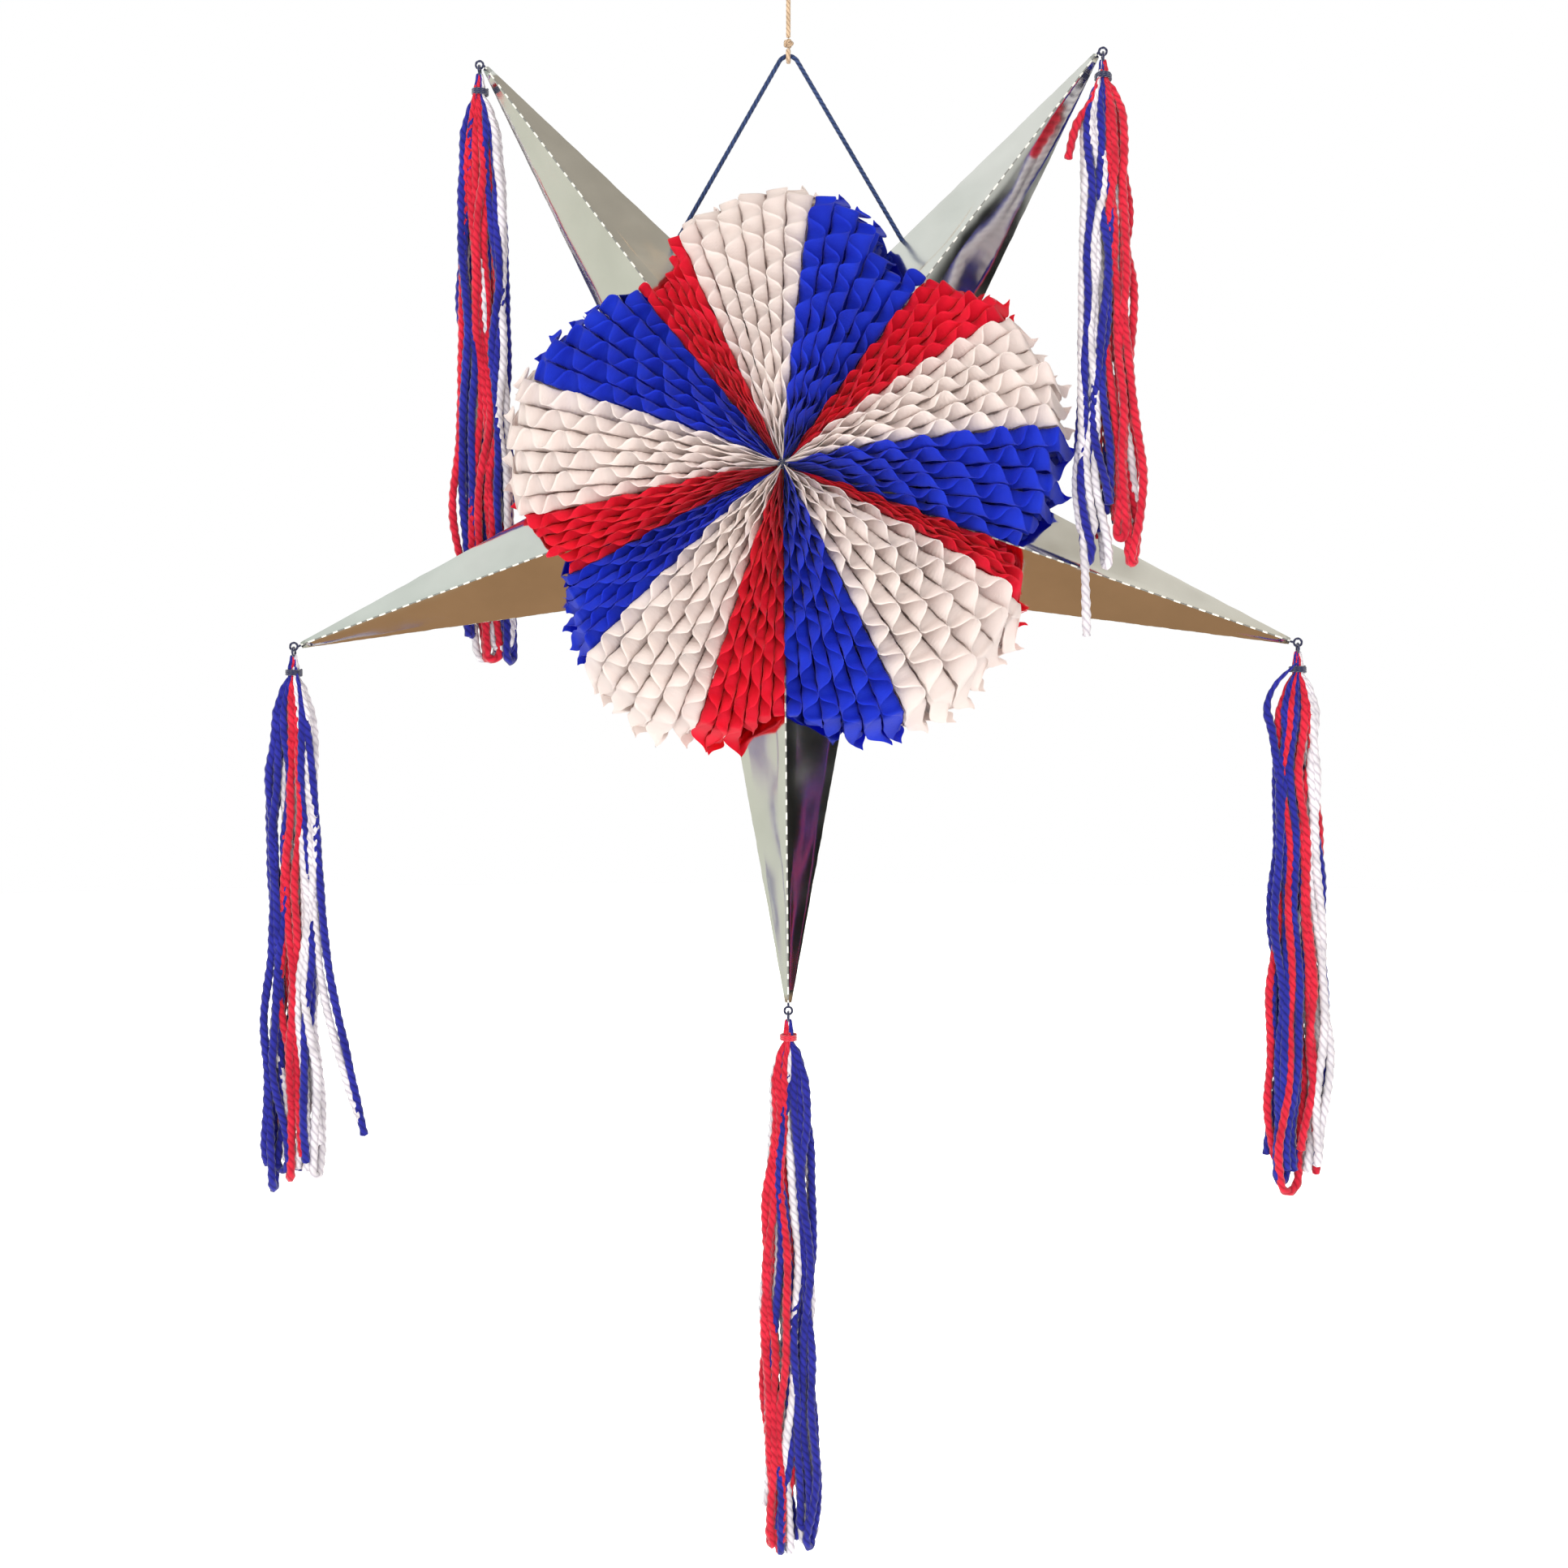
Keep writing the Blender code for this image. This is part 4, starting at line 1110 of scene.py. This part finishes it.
def bottom_turn(first, second):
    """The half loop that joins two legs at the bottom, sagging a little below their ends."""
    a, b = first[-1], second[-1]
    reach = max(np.linalg.norm(b - a), 0.002)
    steps = max(8, int(reach * 1.9 / STRAND_STEP))
    t = np.linspace(0, 1, steps + 2)[1:-1]
    ease = (1 - np.cos(np.pi * t)) / 2
    arc = a[None, :] + (b - a)[None, :] * ease[:, None]
    arc[:, 2] -= reach * 0.62 * np.sin(np.pi * t)
    return arc


def roll_yarn(bm, path, place):
    """One strand of yarn along a path about the eyelet."""
    world = path @ place[:3, :3].T + place[:3, 3]
    roll_tube(bm, world, yarn_thickness(path), sides=7, plies=2, turns=150, groove=0.11)


def make_tassel(tip, number):
    """All strands of one tassel, as one piece for each colour, and the tie round its head."""
    rng = random.Random(100 + number)
    length = TASSEL_LENGTH[tip]
    side_room = SIDE_ROOM.get(tip, FREE_ROOM)
    place = np.array(hang_frame(tip, 2 * LINK_RADIUS - LINK_RISE))
    meshes = {colour: bmesh.new() for colour in COLOURS}
    legs = {colour: [] for colour in COLOURS}
    for row, y_home in zip(COLOUR_ROWS[tip], (-0.75, 0.05, 0.75)):
        marks = row.split()
        for k, mark in enumerate(marks):
            x_home = -0.94 + 1.88 * (k + 0.5) / len(marks) + rng.uniform(-0.06, 0.06)
            legs[NAMES[mark]].append((x_home, y_home + rng.uniform(-0.3, 0.3) * (1 - abs(x_home))))
    for colour, homes in legs.items():
        homes.sort()
        while homes:
            pair = homes[:2]
            homes = homes[2:]
            end = length - 0.004 - abs(rng.gauss(0, 0.010))
            looped = len(pair) == 2 and rng.random() < 0.55
            slack = 0.004 if looped else 0.016
            made = [strand_leg(rng, home, length, end - rng.uniform(0, slack), side_room) for home in pair]
            if looped:
                made = [np.vstack([made[0], bottom_turn(*made), made[1][::-1]])]
            for path in made:
                roll_yarn(meshes[colour], path, place)
    for colour, points in STRAYS[tip]:
        points = [(x, -0.003, -below) for x, below in points]
        roll_yarn(meshes[colour], smooth_path(points, int(points[-1][2] / -STRAND_STEP)), place)
    pieces = []
    for colour, bm in meshes.items():
        piece = add_piece(f"yarn_{colour}_{tip}", bm, [FIBRES[f"yarn_{colour}"]])
        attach(piece, f"hanging_{tip}")
        pieces.append(piece)
    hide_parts(f"tassel_{tip}")
    return pieces


tassels = {tip: make_tassel(tip, number) for number, tip in enumerate(TIPS)}
for tip, pieces in tassels.items():
    print(tip, sum(len(piece.data.polygons) for piece in pieces), "faces")

# %% [markdown]
# ## Ties
# Three turns of thread bind each head. The thread is a tube along a helix: red on the bottom tassel
# and navy on the others.

# %% Ties
WRAP_SPAN = (0.0075, 0.0115)
WRAP_TURNS = 3.2
WRAP_STEPS = 100
WRAP_RADIUS = 0.00072
for tip in TIPS:
    place = hang_frame(tip, 2 * LINK_RADIUS - LINK_RISE)
    helix = []
    for k in range(WRAP_STEPS + 1):
        t = 2 * math.pi * WRAP_TURNS * k / WRAP_STEPS
        z = -WRAP_SPAN[0] - 0.0004 - (WRAP_SPAN[1] - WRAP_SPAN[0] - 0.0008) * k / WRAP_STEPS
        reach = TASSEL_NECK + 0.00085 + 0.0001 * math.sin(5 * t)
        helix.append(place @ Vector((reach * math.cos(t), reach * math.sin(t), z)))
    colour = "red" if tip == "bottom" else "navy"
    tie = tube_piece(f"tie_{tip}", helix, WRAP_RADIUS, f"thread_{colour}", sides=9, **THREAD_TWIST)
    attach(tie, f"hanging_{tip}")
    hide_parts(f"tassel_wrap_{tip}")
print("ties:", len(TIPS))

# %% [markdown]
# ## Stage and light
# A pale floor lies below the star. Broad soft lamps light it from the front and above, and the room
# light is a plain gradient: bright above and to the left, warm below and dim to the right. The mirror
# card shows those tones, facet by facet, as it does in any room.

# %% Floor
FLOOR_Z = -1.06
bm = bmesh.new()
ground = Matrix.Translation((0, 0, FLOOR_Z))
bmesh.ops.create_circle(bm, cap_ends=True, segments=64, radius=9.0, matrix=ground)
floor_finish, tree, out = new_material("pale_floor")
paint = tree.principled(
    (), Base_Color=(0.93, 0.93, 0.92, 1), Roughness=0.9, Emission_Color=(1, 1, 1, 1), Emission_Strength=0.9,
)
tree.tree.links.new(paint.outputs[0], out.inputs[0])
floor = add_piece("floor", bm, [floor_finish])
floor.visible_glossy = False
print("floor at", FLOOR_Z)

# %% Room light
# the tone in each direction round the star's front, as seen by the cones: (share of a turn, colour)
ROOM_TONES = [
    (0.00, (0.80, 0.79, 0.68)), (0.09, (0.76, 0.80, 0.70)), (0.17, (0.52, 0.36, 0.22)),
    (0.22, (0.42, 0.24, 0.12)), (0.31, (0.40, 0.23, 0.12)), (0.37, (0.30, 0.21, 0.14)),
    (0.42, (0.06, 0.055, 0.05)), (0.46, (0.012, 0.012, 0.011)), (0.478, (0.02, 0.02, 0.02)),
    (0.492, (0.62, 0.62, 0.59)), (0.53, (0.82, 0.81, 0.77)), (0.60, (0.78, 0.71, 0.58)),
    (0.655, (0.88, 0.84, 0.76)), (0.674, (0.50, 0.45, 0.38)), (0.70, (0.44, 0.40, 0.34)),
    (0.725, (0.84, 0.85, 0.81)), (0.82, (0.92, 0.93, 0.90)), (0.90, (0.72, 0.80, 0.74)),
    (1.00, (0.80, 0.79, 0.68)),
]
world = bpy.data.worlds.new("room")
bpy.context.scene.world = world
world.use_nodes = True
world.node_tree.nodes.clear()
tree = Tree(world.node_tree)
out = tree.add("ShaderNodeOutputWorld")
coords = tree.add("ShaderNodeTexCoord")
split = tree.add("ShaderNodeSeparateXYZ", [(0, coords.outputs["Generated"])])
turn = tree.math("ARCTAN2", split.outputs[2], split.outputs[0])
share = tree.math("ADD", tree.math("DIVIDE", turn, 2 * math.pi), 0.5)
tones = tree.ramp(share, ROOM_TONES)
lit = tree.add("ShaderNodeBackground", [(0, tones)], in1=0.85)
seen = tree.add("ShaderNodeBackground", in0=(1, 1, 1, 1), in1=1.0)
rays = tree.add("ShaderNodeLightPath")
by_ray = [(0, rays.outputs["Is Camera Ray"]), (1, lit.outputs[0]), (2, seen.outputs[0])]
both = tree.add("ShaderNodeMixShader", by_ray)
tree.tree.links.new(both.outputs[0], out.inputs[0])
print("room light ready")

# %% Lamps


def lamp(name, power, size, place, aim=(0, 0, -0.4), colour=(1, 0.97, 0.93)):
    """A soft square lamp that mirrors don't show."""
    data = bpy.data.lights.new(name, "AREA")
    data.energy, data.size, data.color = power, size, colour
    obj = bpy.data.objects.new(name, data)
    obj.location = place
    obj.rotation_euler = (Vector(aim) - Vector(place)).to_track_quat("-Z", "Y").to_euler()
    obj.visible_glossy = False
    bpy.context.scene.collection.objects.link(obj)
    return obj


lamp("key_lamp", 26, 1.2, (-1.1, -1.7, 0.9))
lamp("fill_lamp", 24, 1.6, (0.5, -2.1, -0.2), colour=(1, 0.95, 0.92))
lamp("back_lamp", 22, 1.4, (0.2, 1.9, 0.6), colour=(1, 0.98, 0.96))
print("lamps ready")
